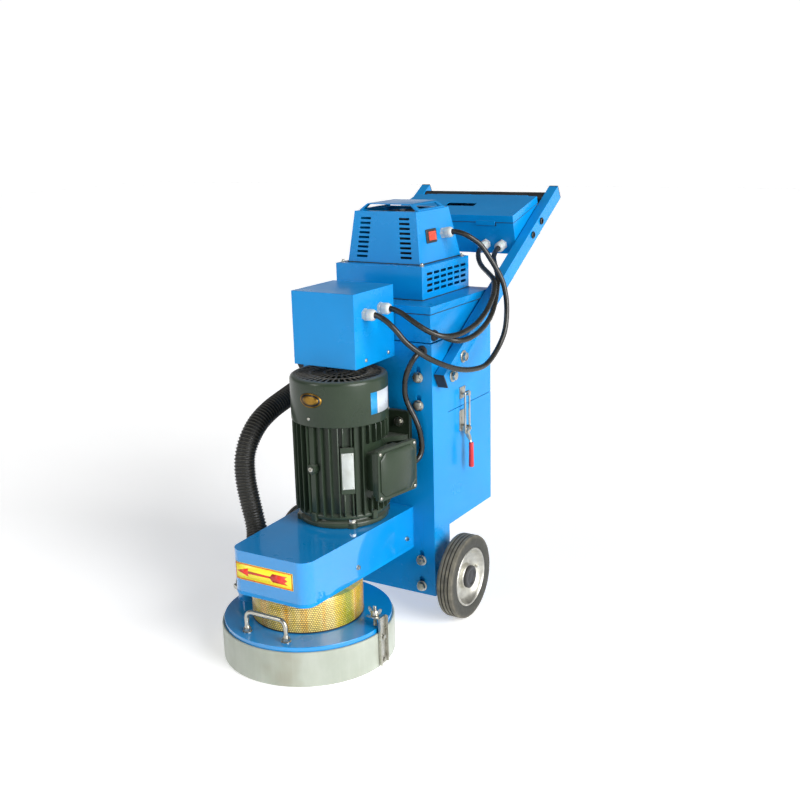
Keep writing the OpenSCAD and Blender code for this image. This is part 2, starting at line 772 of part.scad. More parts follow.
module motor_frame() placed() color(motor_green) difference() {
    union() {
        translate([0, motor_y, frame_z0]) linear_extrude(frame_z1 - frame_z0) union() {
            circle(r = core_r);
            for (a = [0 : 10 : 350]) if (abs(a - 90) > 25) rotate(a) translate([90, -1.75]) square([20, 3.5]);
        }
        difference() {
            block([-foot_x, -foot_t, 312], [foot_x, 0, 503]);
            for (x = [-95, 95], z = foot_zs) rod_y(foot_bolt_r, -foot_t - 1, 1, x, z);
        }
        block([-80, -40, 330], [80, -foot_t, 350]);
        block([-80, -40, 465], [80, -foot_t, 485]);
    }
    rod_z(stator_r, frame_z0 - 1, frame_z1 + 1, 0, motor_y);
    terminal_space(0);
}

// The space of the terminal box's neck and body, grown by a margin
module terminal_space(margin) {
    translate(box_centre) rotate([0, 0, -box_turn])
        block(
            [-10 - margin, -box_size[1] / 2 - margin, -box_size[2] / 2 - margin],
            [box_size[0] + margin, box_size[1] / 2 + margin, box_size[2] / 2 + margin]
        );
}

module terminal_box() placed() color(motor_green) difference() {
    terminal_space(0);
    rod_z(core_r, frame_z0, frame_z1, 0, motor_y);
    translate(box_centre) rotate([0, 0, -box_turn]) {
        block([10, -60, -53], [box_size[0] + 1, 60, 53]);
        rod_y(lead_r + 1, 50, 70, 23, 0);
    }
}

module terminal_lid() placed() color(motor_green) translate(box_centre) rotate([0, 0, -box_turn])
    difference() {
        block([box_size[0], -66, -59], [box_size[0] + 6, 66, 59]);
        for (y = [-58, 58], z = [-51, 51]) rod_x(2.5, box_size[0] - 1, box_size[0] + 7, y, z);
    }

module motor_stator() placed() color(gold) translate([0, motor_y, 0]) {
    difference() {
        union() {
            rod_z(stator_r, 335, 460, 0, 0);
            rod_z(80, 315, 480, 0, 0);
        }
        rod_z(rotor_r + 1, 334, 461, 0, 0);
        rod_z(66, 314, 335, 0, 0);
        rod_z(66, 460, 481, 0, 0);
    }
}

module end_shields() placed() color(motor_green) translate([0, motor_y, 0]) {
    difference() {
        union() {
            rod_z(104, motor_z0, motor_z0 + 12, 0, 0);
            rod_z(84, motor_z0 + 12, frame_z0, 0, 0);
        }
        rod_z(26, motor_z0 - 1, frame_z0 + 1, 0, 0);
    }
    ring_z(26, shaft_r + 6 + run, motor_z0 + 4, frame_z0);
    difference() {
        rod_z(100, frame_z1, frame_z1 + 8, 0, 0);
        rod_z(shaft_r + 4 + run, frame_z1 - 1, frame_z1 + 9, 0, 0);
    }
}

module fan_cowl() placed() color(motor_green) translate([0, motor_y, 0]) difference() {
    rod_z(cowl_r, frame_z1, cowl_z1, 0, 0);
    rod_z(cowl_r - 2, frame_z1 - 1, cowl_z1 - 2, 0, 0);
    for (a = [0 : 15 : 345]) rotate(a) block([34, -2, cowl_z1 - 4], [98, 2, cowl_z1 + 1]);
    for (a = [0 : 30 : 330]) rotate(a) block([14, -1.5, cowl_z1 - 4], [27, 1.5, cowl_z1 + 1]);
}

module motor_shaft() placed() color(steel) translate([0, motor_y, 0]) {
    rod_z(shaft_r, 186, motor_z0 - 2, 0, 0);
    rod_z(shaft_r + 6, motor_z0 - 2, 315, 0, 0);
    rod_z(rotor_r, 315, 480, 0, 0);
    rod_z(shaft_r + 4, 480, 530, 0, 0);
    rod_z(shaft_r - 4, 530, 572, 0, 0);
}

module cooling_fan() placed() color(black) translate([0, motor_y, 0]) {
    difference() {
        union() {
            rod_z(24, 532, 566, 0, 0);
            rod_z(78, 532, 536, 0, 0);
            for (a = [0 : 45 : 315]) rotate(a) block([20, -1.5, 534], [92, 1.5, 572]);
        }
        rod_z(shaft_r - 4, 525, 580, 0, 0);
    }
}

// A pulley with V grooves, one for each belt
module pulley(r, bore) {
    rim = r + 5;
    depth = 12;
    rotate_extrude() polygon(concat(
        [[bore, 190], [rim, 190]],
        [for (z = belt_zs, p = [[0, -8], [-depth, -5], [-depth, 5], [0, 8]]) [rim + p[0], z + p[1]]],
        [[rim, 240], [bore, 240]]
    ));
}

module drive_pulley() placed() color(black) translate([0, motor_y, 0]) pulley(drive_r, shaft_r);

module driven_pulley() placed() color(black) translate([0, spindle_y, 0]) pulley(driven_r, spindle_r);

// Two V belts, each a loop of the belt section round both pulleys
module drive_belts() placed() color(black) {
    a = acos((driven_r - drive_r) / centre_distance);
    for (z = belt_zs) translate([0, 0, z - 4]) linear_extrude(8) difference() {
        belt_outline(a, 4.5);
        belt_outline(a, -5.5);
    }
}

// The outside of a loop round the two pulleys, moved outwards by a margin
module belt_outline(a, margin) {
    r1 = drive_r + margin;
    r2 = driven_r + margin;
    translate([0, motor_y]) circle(r = r1);
    translate([0, spindle_y]) circle(r = r2);
    polygon([
        [r1 * sin(a), motor_y - r1 * cos(a)], [r2 * sin(a), spindle_y - r2 * cos(a)],
        [-r2 * sin(a), spindle_y - r2 * cos(a)], [-r1 * sin(a), motor_y - r1 * cos(a)]
    ]);
}

module spindle() placed() color(steel) translate([0, spindle_y, 0]) {
    rod_z(spindle_r, 40, 246, 0, 0);
    rod_z(spindle_r + 12, 32, 84, 0, 0);
    rod_z(60, 22, 32, 0, 0);
    for (a = [0 : 60 : 300]) rotate(a) rod_z(4.95, 11, 23, 45, 0);
}

module grinding_disc() placed() color(steel) translate([0, spindle_y, 0]) difference() {
    rod_z(disc_r, 10, 22, 0, 0);
    rod_z(20, 9, 23, 0, 0);
    for (a = [0 : 60 : 300]) rotate(a) rod_z(4.95, 9, 23, 45, 0);
}

module grinding_segments() placed() color(gold) translate([0, spindle_y, 0])
    for (i = [0 : segments - 1]) rotate(i * 360 / segments)
        linear_extrude(10) polygon([[112, -22], [164, -30], [164, 30], [112, 22]]);

module head_screws() placed() color(steel) {
    both_sides() {
        for (y = [-227, -30])
            rod_x(5, housing_side_x(y) - 1, housing_side_x(y) + 3, y, 197);
        for (z = foot_zs) {
            rod_y(foot_bolt_r, -foot_t - 2, plate_t, 95, z);
            translate([95, -foot_t, z]) rotate([90, 0, 0]) cylinder(r = 9, h = 8, $fn = 6);
        }
    }
    for (a = [45 : 90 : 315]) translate([95 * cos(a), motor_y + 95 * sin(a), motor_z0 + 12])
        cylinder(r = 9, h = 7, $fn = 6);
    translate(box_centre) rotate([0, 0, -box_turn]) for (y = [-58, 58], z = [-51, 51])
        rod_x(5, box_size[0] + 6, box_size[0] + 9, y, z);
}

// The half width of the belt housing at a distance y from the bracket
function housing_side_x(y) =
    housing_rear_x + (housing_front_x - housing_rear_x) * y / (housing_y0 + housing_corner);

module dust_hose() placed() color(black) sweep(hose_path, hose_r, 12);

module motor_lead_lower() placed() color(black) sweep(lead_lower_path, lead_r, 8);

// ---------- wheels ----------

module tyre() difference() {
    ring_x(wheel_d / 2, rim_r, wheel_x0, wheel_x1, axle_y, axle_z);
    for (x = [13, 22, 31]) ring_x(wheel_d, wheel_d / 2 - 3, wheel_x0 + x, wheel_x0 + x + 3, axle_y, axle_z);
}

module hub() {
    ring_x(rim_r, 58, wheel_x0 + 2, wheel_x1 - 2, axle_y, axle_z);
    ring_x(60, 26, wheel_x0 + 18, wheel_x0 + 24, axle_y, axle_z);
    ring_x(28, axle_r + run, wheel_x0 + 2, wheel_x1 - 10, axle_y, axle_z);
    rod_x(27, wheel_x1 - 8, wheel_x1 - 1, axle_y, axle_z);
    ring_x(27, 22, wheel_x1 - 12, wheel_x1 - 8, axle_y, axle_z);
}

module tyre_right() placed() color(black) tyre();

module hub_right() placed() color(steel) hub();

module tyre_left() placed() color(black) mirror([1, 0, 0]) tyre();

module hub_left() placed() color(steel) mirror([1, 0, 0]) hub();

// ---------- dust bin and latches ----------

module dust_bin() placed() color(blue) {
    y0 = tank_y0 + gap;
    difference() {
        block([-tank_x, y0, bin_z0], [tank_x, tank_y1, seam_z]);
        block([-tank_x + 2, y0 + 2, bin_z0 + 2], [tank_x - 2, tank_y1 - 2, seam_z + 1]);
    }
    both_sides() color(steel) {
        block([tank_x, latch_y - 16, latch_pivot_z - 6], [tank_x + 2, latch_y + 16, latch_pivot_z + 46]);
        for (side = [-1, 1]) difference() {
            ear_y = latch_y + side * 6 - 1;
            union() {
                block([tank_x + 1, ear_y, latch_pivot_z - 7], [latch_x, ear_y + 2, latch_pivot_z + 7]);
                rod_y(7, ear_y, ear_y + 2, latch_x, latch_pivot_z);
            }
            rod_y(rod_r + run, latch_y - 20, latch_y + 20, latch_x, latch_pivot_z);
        }
    }
}

module lever() {
    rod_y(rod_r, latch_y - 8, latch_y + 8, latch_x, latch_pivot_z);
    difference() {
        block([latch_x - 4, latch_y - 4, latch_pivot_z - 32], [latch_x + 4, latch_y + 4, latch_pivot_z + 4]);
        rod_y(rod_r + run, latch_y - 20, latch_y + 20, latch_x, latch_pivot_z - latch_throw);
    }
    translate([latch_x, latch_y, latch_pivot_z - 95]) cylinder(r = 6.5, h = 64);
}

module loop() {
    low = latch_pivot_z - latch_throw;
    rod_y(rod_r, latch_y - loop_half, latch_y + loop_half, latch_x, low);
    for (side = [-1, 1]) rod_z(rod_r, low, keeper_z, latch_x, latch_y + side * loop_half);
    rod_y(rod_r, latch_y - loop_half, latch_y + loop_half, latch_x, keeper_z);
}

module lever_right() placed() color(red) lever();

module loop_right() placed() color(steel) loop();

module lever_left() placed() color(red) mirror([1, 0, 0]) lever();

module loop_left() placed() color(steel) mirror([1, 0, 0]) loop();

// A two-position rocker, resting on its rear half; it turns about its long sides' middle
module rocker() placed() color(red) on_cowl_side(switch_at) rotate([rocker_tilt, 0, 0]) {
    translate([-10.5, 0, 0]) rotate([90, 0, 90]) linear_extrude(21)
        polygon([[-14, -1], [14, -1], [14, 5.5], [0, 4], [-14, 5.5]]);
    rod_x(0.9, -11.5, 11.5, 0, 0);
}

chassis();
filter_tank();
filter_cartridge();
tank_lid();
vac_base_box();
vac_cowl();
rain_cap();
vac_motor();
axle();
handle_frame();
grip_sleeve();
arm_end_plugs();
frame_bolts();
control_box();
inverter();
power_box();
cable_glands();
cable_vac();
cable_control();
motor_lead_upper();
latch_keepers();
frame_screws();
suction_elbow();
head_bracket();
belt_housing();
spindle_housing();
bearings();
head_cover();
dust_skirt();
skirt_clamp();
lift_handle();
motor_frame();
motor_stator();
end_shields();
fan_cowl();
terminal_box();
terminal_lid();
head_screws();
dust_hose();
motor_lead_lower();
drive_belts();
motor_shaft();
cooling_fan();
drive_pulley();
spindle();
driven_pulley();
grinding_disc();
grinding_segments();
tyre_right();
hub_right();
tyre_left();
hub_left();
dust_bin();
lever_right();
loop_right();
lever_left();
loop_left();
box_lid();
rocker();
wing_screw();
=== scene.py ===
"""A walk-behind concrete floor grinder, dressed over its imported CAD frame.

All lengths are in metres, in the row frame: +Z up, the grinding head towards -Y, the handle towards +Y.
Places are given as spot(x, y, z), with y counted from the front face of the head bracket.
"""

import math

import bmesh
import bpy
from mathutils import Matrix, Vector


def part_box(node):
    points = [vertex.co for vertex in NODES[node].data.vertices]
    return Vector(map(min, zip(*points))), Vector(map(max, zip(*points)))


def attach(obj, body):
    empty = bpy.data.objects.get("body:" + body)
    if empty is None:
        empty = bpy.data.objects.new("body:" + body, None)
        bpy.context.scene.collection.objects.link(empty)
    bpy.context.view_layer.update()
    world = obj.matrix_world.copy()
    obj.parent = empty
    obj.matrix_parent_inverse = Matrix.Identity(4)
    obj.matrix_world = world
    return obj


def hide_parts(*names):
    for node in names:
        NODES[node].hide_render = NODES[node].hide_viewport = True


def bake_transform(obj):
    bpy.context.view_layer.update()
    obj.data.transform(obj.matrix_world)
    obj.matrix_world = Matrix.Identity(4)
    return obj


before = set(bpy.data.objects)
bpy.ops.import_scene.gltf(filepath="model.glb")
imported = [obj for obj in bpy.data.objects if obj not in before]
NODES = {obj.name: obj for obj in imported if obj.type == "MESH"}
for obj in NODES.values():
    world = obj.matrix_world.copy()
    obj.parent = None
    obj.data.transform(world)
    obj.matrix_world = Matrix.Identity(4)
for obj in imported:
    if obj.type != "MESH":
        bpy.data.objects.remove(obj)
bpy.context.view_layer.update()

CHASSIS_GAP = 0.0065
SHIFT_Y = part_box("chassis")[0].y - CHASSIS_GAP


def spot(x, y, z):
    """A place with y counted from the front face of the head bracket."""
    return Vector((x, y + SHIFT_Y, z))


def moved(x, y, z):
    """A shift by x, y and z."""
    return Matrix.Translation((x, y, z))


def placed(x, y, z):
    """A frame at a spot, with its axes along the row's."""
    return Matrix.Translation(spot(x, y, z))


def turned(angle, axis):
    """A rotation of that many degrees about X, Y or Z."""
    return Matrix.Rotation(math.radians(angle), 4, axis)


def facing(point, out, up=(0, 0, 1)):
    """A frame at point whose Z is out, and whose Y is as near to up as it can be."""
    z = Vector(out).normalized()
    x = Vector(up).cross(z).normalized()
    return Matrix.Translation(point) @ Matrix((x, z.cross(x), z)).transposed().to_4x4()


# ---------- places, as in the CAD ----------

BOLT_X = 0.142
BOLT_Z = (0.071, 0.137, 0.517, 0.583)
WHEEL_X = 0.209
AXLE = (0.041, 0.1)
CABLE_R = 0.00625
MOTOR_Y = -0.112
SPINDLE_Y = -0.269
TANK_X = 0.1745
POWER_X = 0.082
ARM_OUTER_X = 0.205
ARM_BOLTS = ((0.0472, 0.5832), (0.0993, 0.618))
BOX_BOLTS = ((0.4823, 0.856), (0.5336, 0.886))
BOX_START = (0.4212, 0.909)
BOX_PITCH = 14.3
GLAND_DROP = 0.077
LATCH_REACH = 0.014
LATCH_X = TANK_X + LATCH_REACH
LATCH_Y = 0.15
PIVOT_Z = 0.43
THROW = 0.01
KEEPER_Z = 0.521
COVER_Z = 0.09
COWL_LEAN = math.degrees(math.atan(15 / 120))
MOTOR_AXIS = placed(0, MOTOR_Y, 0)
SPINDLE_AXIS = placed(0, SPINDLE_Y, 0)
TERMINAL = placed(0.112, -0.101, 0.393) @ turned(-9.6, "Z")
ON_BOX = placed(0, *BOX_START) @ turned(BOX_PITCH, "X")


def on_motor(angle, radius, height):
    """A frame on the motor's side at that angle, radius and height, with Z pointing outwards."""
    return MOTOR_AXIS @ turned(angle, "Z") @ moved(radius, 0, height) @ turned(90, "Y")


def on_side(side, x, y, z):
    """A frame on an upright face x metres to one side of the middle, with Z pointing outwards."""
    return facing(spot(side * x, y, z), (side, 0, 0))


def on_front(x, y, z):
    """A frame on a face that looks towards the front, with Z pointing out of it."""
    return facing(spot(x, y, z), (0, -1, 0))


def on_cowl_side(y, z):
    """A frame on the sloping right face of the vacuum cowl: Z out of the face, Y along +Y."""
    x = 0.099 - (z - 0.823) * math.tan(math.radians(COWL_LEAN))
    return placed(x, y, z) @ turned(90 - COWL_LEAN, "Y")


def wheel_frame(side):
    """A frame on the wheel's axle at its inner face, with Z pointing outwards."""
    return placed(side * WHEEL_X, *AXLE) @ turned(side * 90, "Y")


# ---------- camera ----------


def add_camera():
    azimuth, elevation, roll = map(math.radians, (31.8, 15.6, -1.6))
    ahead = Vector((
        -math.sin(azimuth) * math.cos(elevation),
        math.cos(azimuth) * math.cos(elevation),
        -math.sin(elevation),
    ))
    right = Vector((math.cos(azimuth), math.sin(azimuth), 0))
    up = right.cross(ahead)
    across = right * math.cos(roll) + up * math.sin(roll)
    upwards = up * math.cos(roll) - right * math.sin(roll)
    data = bpy.data.cameras.new("camera")
    data.lens = 49.98
    data.sensor_width = 36
    data.shift_x = 0.0137
    data.shift_y = 0.0276
    camera = bpy.data.objects.new("camera", data)
    bpy.context.scene.collection.objects.link(camera)
    turn = Matrix((across, upwards, -ahead)).transposed().to_4x4()
    camera.matrix_world = placed(1.3783, -2.1251, 1.1658) @ turn
    bpy.context.scene.camera = camera


# ---------- meshes ----------


class Shape:
    """Vertices and faces collected from plain solids. tones is a value at each vertex for the material."""

    def __init__(self):
        self.verts, self.faces, self.slots, self.tones = [], [], [], []

    def add(self, verts, faces, where=None, slot=0, tones=None):
        first = len(self.verts)
        self.verts += [where @ Vector(v) if where else Vector(v) for v in verts]
        self.faces += [[first + i for i in face] for face in faces]
        self.slots += [slot] * len(faces)
        self.tones += tones or [0.0] * len(verts)
        return self

    def rings(self, rings, where=None, slot=0, closed=False, caps=True, tones=None):
        """A skin over rings that each hold the same number of points."""
        n = len(rings[0])
        steps = len(rings) if closed else len(rings) - 1
        faces = []
        for i in range(steps):
            a, b = i * n, (i + 1) % len(rings) * n
            faces += [[a + k, a + (k + 1) % n, b + (k + 1) % n, b + k] for k in range(n)]
        if caps and not closed:
            faces += [list(range(n))[::-1], [(len(rings) - 1) * n + k for k in range(n)]]
        spread = None if tones is None else [t for t in tones for _ in range(n)]
        return self.add([p for r in rings for p in r], faces, where, slot, spread)

    def lathe(self, profile, where=None, n=64, slot=0, closed=False):
        """A profile of (radius, height) or (radius, height, tone) turned about Z."""
        turns = [(math.cos(math.tau * k / n), math.sin(math.tau * k / n)) for k in range(n)]
        rings = [[(p[0] * c, p[0] * s, p[1]) for c, s in turns] for p in profile]
        tones = [p[2] if len(p) > 2 else 0.0 for p in profile]
        return self.rings(rings, where, slot, closed, tones=tones)

    def prism(self, outline, z0, z1, where=None, chamfer=0.0008, slot=0):
        """An outline, a function of how far it is drawn in, extruded along Z with chamfered rims."""
        levels = [(z0, chamfer), (z0 + chamfer, 0), (z1 - chamfer, 0), (z1, chamfer)]
        rings = [[(x, y, z) for x, y in outline(inset)] for z, inset in levels]
        return self.rings(rings, where, slot)

    def block(self, low, high, where=None, chamfer=0.0008, slot=0):
        """A box with chamfered edges between two corners."""
        middle = Matrix.Translation([(low[0] + high[0]) / 2, (low[1] + high[1]) / 2, 0])
        outline = rounded(high[0] - low[0], high[1] - low[1], chamfer * 1.5, 2)
        where = (where or Matrix()) @ middle
        return self.prism(outline, low[2], high[2], where, chamfer, slot)

    def hexagon(self, radius, height, where=None, slot=0):
        """A hexagon head or nut of that corner radius, standing on Z = 0, its rim cut by a cone."""
        inner = radius * math.cos(math.pi / 6)
        angles = [math.tau * k / 24 for k in range(24)]
        reach = [inner / math.cos((a + math.pi / 6) % (math.pi / 3) - math.pi / 6) for a in angles]
        drop = [(r - inner) * 0.58 for r in reach]

        def ring(scale, z, cut):
            return [
                (min(r, radius) * scale * math.cos(a), min(r, radius) * scale * math.sin(a), z - cut * d)
                for a, r, d in zip(angles, reach, drop)
            ]

        top = [(inner * 0.93 * math.cos(a), inner * 0.93 * math.sin(a), height) for a in angles]
        return self.rings([ring(1, 0, 0), ring(1, height, 1), top], where, slot)

    def tube(self, path, radius, n=16, slot=0, closed=False, tones=None):
        """A round tube along a path. radius is a number, or one for each point."""
        radii = radius if isinstance(radius, list) else [radius] * len(path)
        rings = []
        for p, r, (u, v) in zip(path, radii, frames_along(path)):
            turns = [math.tau * k / n for k in range(n)]
            rings.append([p + u * (r * math.cos(a)) + v * (r * math.sin(a)) for a in turns])
        return self.rings(rings, None, slot, closed, tones=tones)


def rounded(width, height, radius, n=6):
    """A rounded rectangle centred on the origin, as a function of how far it is drawn in."""

    def outline(inset=0.0):
        r = max(radius - inset, 0.00005)
        x, y = width / 2 - inset - r, height / 2 - inset - r
        points = []
        for quarter, (cx, cy) in enumerate([(x, y), (-x, y), (-x, -y), (x, -y)]):
            for k in range(n + 1):
                a = math.pi / 2 * (quarter + k / n)
                points.append((cx + r * math.cos(a), cy + r * math.sin(a)))
        return points

    return outline


def frames_along(path):
    """Two directions across the path at each of its points, turning as little as they can."""
    last = len(path) - 1
    ahead = [(path[min(i + 1, last)] - path[max(i - 1, 0)]).normalized() for i in range(last + 1)]
    side = ahead[0].orthogonal().normalized()
    found = []
    for t in ahead:
        side = (side - t * side.dot(t)).normalized()
        found.append((side, t.cross(side)))
    return found


def smooth_path(points, step):
    """A curve through the points, with a point about every step along it."""
    fine = []
    ends = [points[0] * 2 - points[1]] + list(points) + [points[-1] * 2 - points[-2]]
    for a, b, c, d in zip(ends, ends[1:], ends[2:], ends[3:]):
        for k in range(24):
            t = k / 24
            cubic = (b * 3 - a - c * 3 + d) * t**3
            fine.append((b * 2 + (c - a) * t + (a * 2 - b * 5 + c * 4 - d) * t**2 + cubic) / 2)
    fine.append(points[-1].copy())
    along = [0.0]
    for a, b in zip(fine, fine[1:]):
        along.append(along[-1] + (b - a).length)
    count = max(2, round(along[-1] / step))
    even, i = [], 0
    for k in range(count + 1):
        want = along[-1] * k / count
        while i < len(along) - 2 and along[i + 1] < want:
            i += 1
        share = (want - along[i]) / max(along[i + 1] - along[i], 1e-9)
        even.append(fine[i].lerp(fine[i + 1], min(1.0, share)))
    return even


def piece(name, shape, materials, body=None, replaces=(), sharp=35, thick=None):
    """Makes an object of a shape, riding on a body. thick turns a sheet into a solid."""
    mesh = bpy.data.meshes.new(name)
    mesh.from_pydata(shape.verts, [], shape.faces)
    for material in materials if isinstance(materials, list) else [materials]:
        mesh.materials.append(material)
    mesh.polygons.foreach_set("material_index", shape.slots)
    tone = mesh.attributes.new("tone", "FLOAT", "POINT")
    tone.data.foreach_set("value", shape.tones)
    bm = bmesh.new()
    bm.from_mesh(mesh)
    bmesh.ops.recalc_face_normals(bm, faces=bm.faces)
    bm.to_mesh(mesh)
    bm.free()
    mesh.shade_smooth()
    mesh.set_sharp_from_angle(angle=math.radians(sharp))
    obj = bpy.data.objects.new(name, mesh)
    bpy.context.scene.collection.objects.link(obj)
    if thick:
        solid = obj.modifiers.new("thickness", "SOLIDIFY")
        solid.thickness = thick
        solid.offset = -1
    if body:
        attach(obj, body)
    if replaces:
        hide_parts(*replaces)
    return obj


# ---------- materials ----------


class Surface:
    """A node material under construction, with short names for the nodes that repeat."""

    def __init__(self, name, **shader):
        self.material = bpy.data.materials.new(name)
        self.material.use_nodes = True
        self.tree = self.material.node_tree
        self.tree.nodes.clear()
        out = self.tree.nodes.new("ShaderNodeOutputMaterial")
        self.shader = self.tree.nodes.new("ShaderNodeBsdfPrincipled")
        self.tree.links.new(self.shader.outputs[0], out.inputs[0])
        for key, value in shader.items():
            self.shader.inputs[key.replace("_", " ")].default_value = value
        self.place = self.node("TexCoord").outputs["Object"]

    def node(self, kind, settings=None, **inputs):
        made = self.tree.nodes.new("ShaderNode" + kind)
        for key, value in (settings or {}).items():
            setattr(made, key, value)
        for key, value in inputs.items():
            socket = made.inputs[int(key[1:]) if key[0] == "i" and key[1:].isdigit() else key]
            if isinstance(value, bpy.types.NodeSocket):
                self.tree.links.new(value, socket)
            else:
                socket.default_value = value
        return made

    def noise(self, scale, detail=3.0, stretch=None, rough=0.55):
        where = self.place
        if stretch:
            where = self.node("Mapping", Vector=self.place, Scale=stretch).outputs[0]
        made = self.node("TexNoise", Vector=where, Scale=scale, Detail=detail, Roughness=rough)
        return made.outputs["Fac"]

    def math(self, operation, a, b=0.0):
        return self.node("Math", {"operation": operation}, i0=a, i1=b).outputs[0]

    def span(self, value, low, high, to_low=0.0, to_high=1.0):
        """value from low..high stretched to to_low..to_high and held there."""
        made = self.node("MapRange", None, i0=value, i1=low, i2=high, i3=to_low, i4=to_high)
        return made.outputs[0]

    def mix(self, share, a, b):
        """A colour between a and b."""
        made = self.node("Mix", {"data_type": "RGBA"}, i0=share)
        for index, value in ((6, a), (7, b)):
            if isinstance(value, bpy.types.NodeSocket):
                self.tree.links.new(value, made.inputs[index])
            else:
                made.inputs[index].default_value = (*value, 1)
        return made.outputs[2]

    def tone(self):
        return self.node("Attribute", {"attribute_name": "tone"}).outputs["Fac"]

    def colour(self, value):
        self.tree.links.new(value, self.shader.inputs["Base Color"])
        return self

    def roughness(self, value):
        self.tree.links.new(value, self.shader.inputs["Roughness"])
        return self

    def bump(self, height, distance, strength=1.0, under=None):
        made = self.node("Bump", None, Height=height, Distance=distance, Strength=strength)
        if under is not None:
            self.tree.links.new(under, made.inputs["Normal"])
        self.tree.links.new(made.outputs[0], self.shader.inputs["Normal"])
        return made.outputs[0]

    def upward(self, low=0.5, high=0.95):
        """1 where the surface looks up."""
        normal = self.node("NewGeometry").outputs["Normal"]
        z = self.node("SeparateXYZ", None, Vector=normal).outputs["Z"]
        return self.span(z, low, high)


DUST = (0.46, 0.45, 0.43)


def painted(name, base, dark, rough, dust, texture, depth, coat, coat_ior=1.5, wear=(0.42, 0.42, 0.4)):
    """Paint on metal: slow colour drift, dust where it looks up, fine scuffs and a textured coat."""
    s = Surface(name, Coat_Weight=coat, Coat_Roughness=0.035, Coat_IOR=coat_ior, Specular_IOR_Level=0.25)
    drift = s.span(s.noise(5.0, 4.0), 0.35, 0.68)
    body = s.mix(drift, dark, base)
    scuff = s.span(s.noise(38.0, 8.0, (1.0, 1.0, 4.0), 0.75), 0.66, 0.8, 0.0, 0.12)
    scuffed = s.mix(scuff, body, [c * 0.75 + 0.03 for c in base])
    fleck = s.span(s.noise(420.0, 2.0), 0.8, 0.82, 0.0, 0.7)
    chipped = s.mix(fleck, scuffed, wear)
    patchy = s.math("MULTIPLY", s.upward(), s.span(s.noise(14.0, 6.0), 0.3, 0.75, 0.25, 1.0))
    s.colour(s.mix(s.math("MULTIPLY", patchy, dust), chipped, DUST))
    smear = s.span(s.noise(9.0, 5.0), 0.3, 0.7, rough - 0.05, rough + 0.09)
    s.roughness(s.math("ADD", smear, s.math("MULTIPLY", patchy, 0.18)))
    s.bump(s.noise(texture, 3.0), depth, 0.6)
    return s.material


def metal(name, base, tint, rough, grain=(1.0, 1.0, 1.0), scale=120.0, depth=0.00005):
    """Bare or plated metal with a blotchy tint and fine grain."""
    s = Surface(name, Metallic=1.0)
    blotch = s.span(s.noise(45.0, 5.0), 0.35, 0.68)
    grime = s.span(s.noise(20.0, 7.0), 0.6, 0.78, 0.0, 0.35)
    s.colour(s.mix(grime, s.mix(blotch, base, tint), [c * 0.45 for c in base]))
    s.roughness(s.span(s.noise(scale, 4.0, grain), 0.3, 0.7, rough - 0.08, rough + 0.12))
    s.bump(s.noise(scale * 4, 2.0, grain), depth, 0.5)
    return s.material


def plastic(name, base, tint, rough, depth=0.00006, scale=900.0, **shader):
    """Moulded plastic or rubber: a slight mottle, a fine grain and a few dusty smears."""
    s = Surface(name, **shader)
    mottle = s.span(s.noise(30.0, 4.0), 0.35, 0.7)
    smear = s.span(s.noise(18.0, 6.0, (1.0, 1.0, 0.4)), 0.58, 0.8, 0.0, 0.35)
    s.colour(s.mix(smear, s.mix(mottle, base, tint), [c * 0.85 + 0.015 for c in base]))
    s.roughness(s.span(s.noise(60.0, 5.0), 0.3, 0.7, rough - 0.07, rough + 0.1))
    s.bump(s.noise(scale, 3.0), depth, 0.6)
    return s.material


def toned(name, base, raised, rough, depth=0.00008, scale=700.0):
    """A dark rubber whose tone attribute brings in a dusty, worn colour."""
    s = Surface(name)
    patch = s.span(s.noise(55.0, 6.0), 0.3, 0.72, 0.35, 1.0)
    share = s.math("MULTIPLY", s.tone(), patch)
    fine = s.span(s.noise(220.0, 3.0), 0.3, 0.7, 0.0, 0.35)
    s.colour(s.mix(share, s.mix(fine, base, [c * 1.7 for c in base]), raised))
    s.roughness(s.span(s.noise(80.0, 4.0), 0.3, 0.7, rough - 0.08, rough + 0.1))
    s.bump(s.noise(scale, 4.0), depth, 0.7)
    return s.material


def skirt_material():
    """Milky plastic that lets some light through, with stains and faint upright streaks."""
    s = Surface("milky_skirt", Subsurface_Weight=0.35, Subsurface_Scale=0.004, Specular_IOR_Level=0.45)
    s.shader.inputs["Subsurface Radius"].default_value = (1.0, 0.95, 0.8)
    cloud = s.span(s.noise(9.0, 5.0, (1.0, 1.0, 0.6)), 0.35, 0.7)
    body = s.mix(cloud, (0.33, 0.36, 0.3), (0.44, 0.47, 0.41))
    stain = s.span(s.noise(7.0, 3.0), 0.58, 0.74, 0.0, 0.55)
    stained = s.mix(stain, body, (0.27, 0.25, 0.18))
    streak = s.span(s.noise(90.0, 3.0, (1.0, 1.0, 0.04)), 0.45, 0.75, 0.0, 0.07)
    s.colour(s.mix(streak, stained, (0.66, 0.68, 0.64)))
    s.roughness(s.span(s.noise(25.0, 4.0), 0.3, 0.7, 0.3, 0.46))
    s.bump(s.noise(60.0, 3.0, (1.0, 1.0, 0.1)), 0.00012, 0.5)
    return s.material


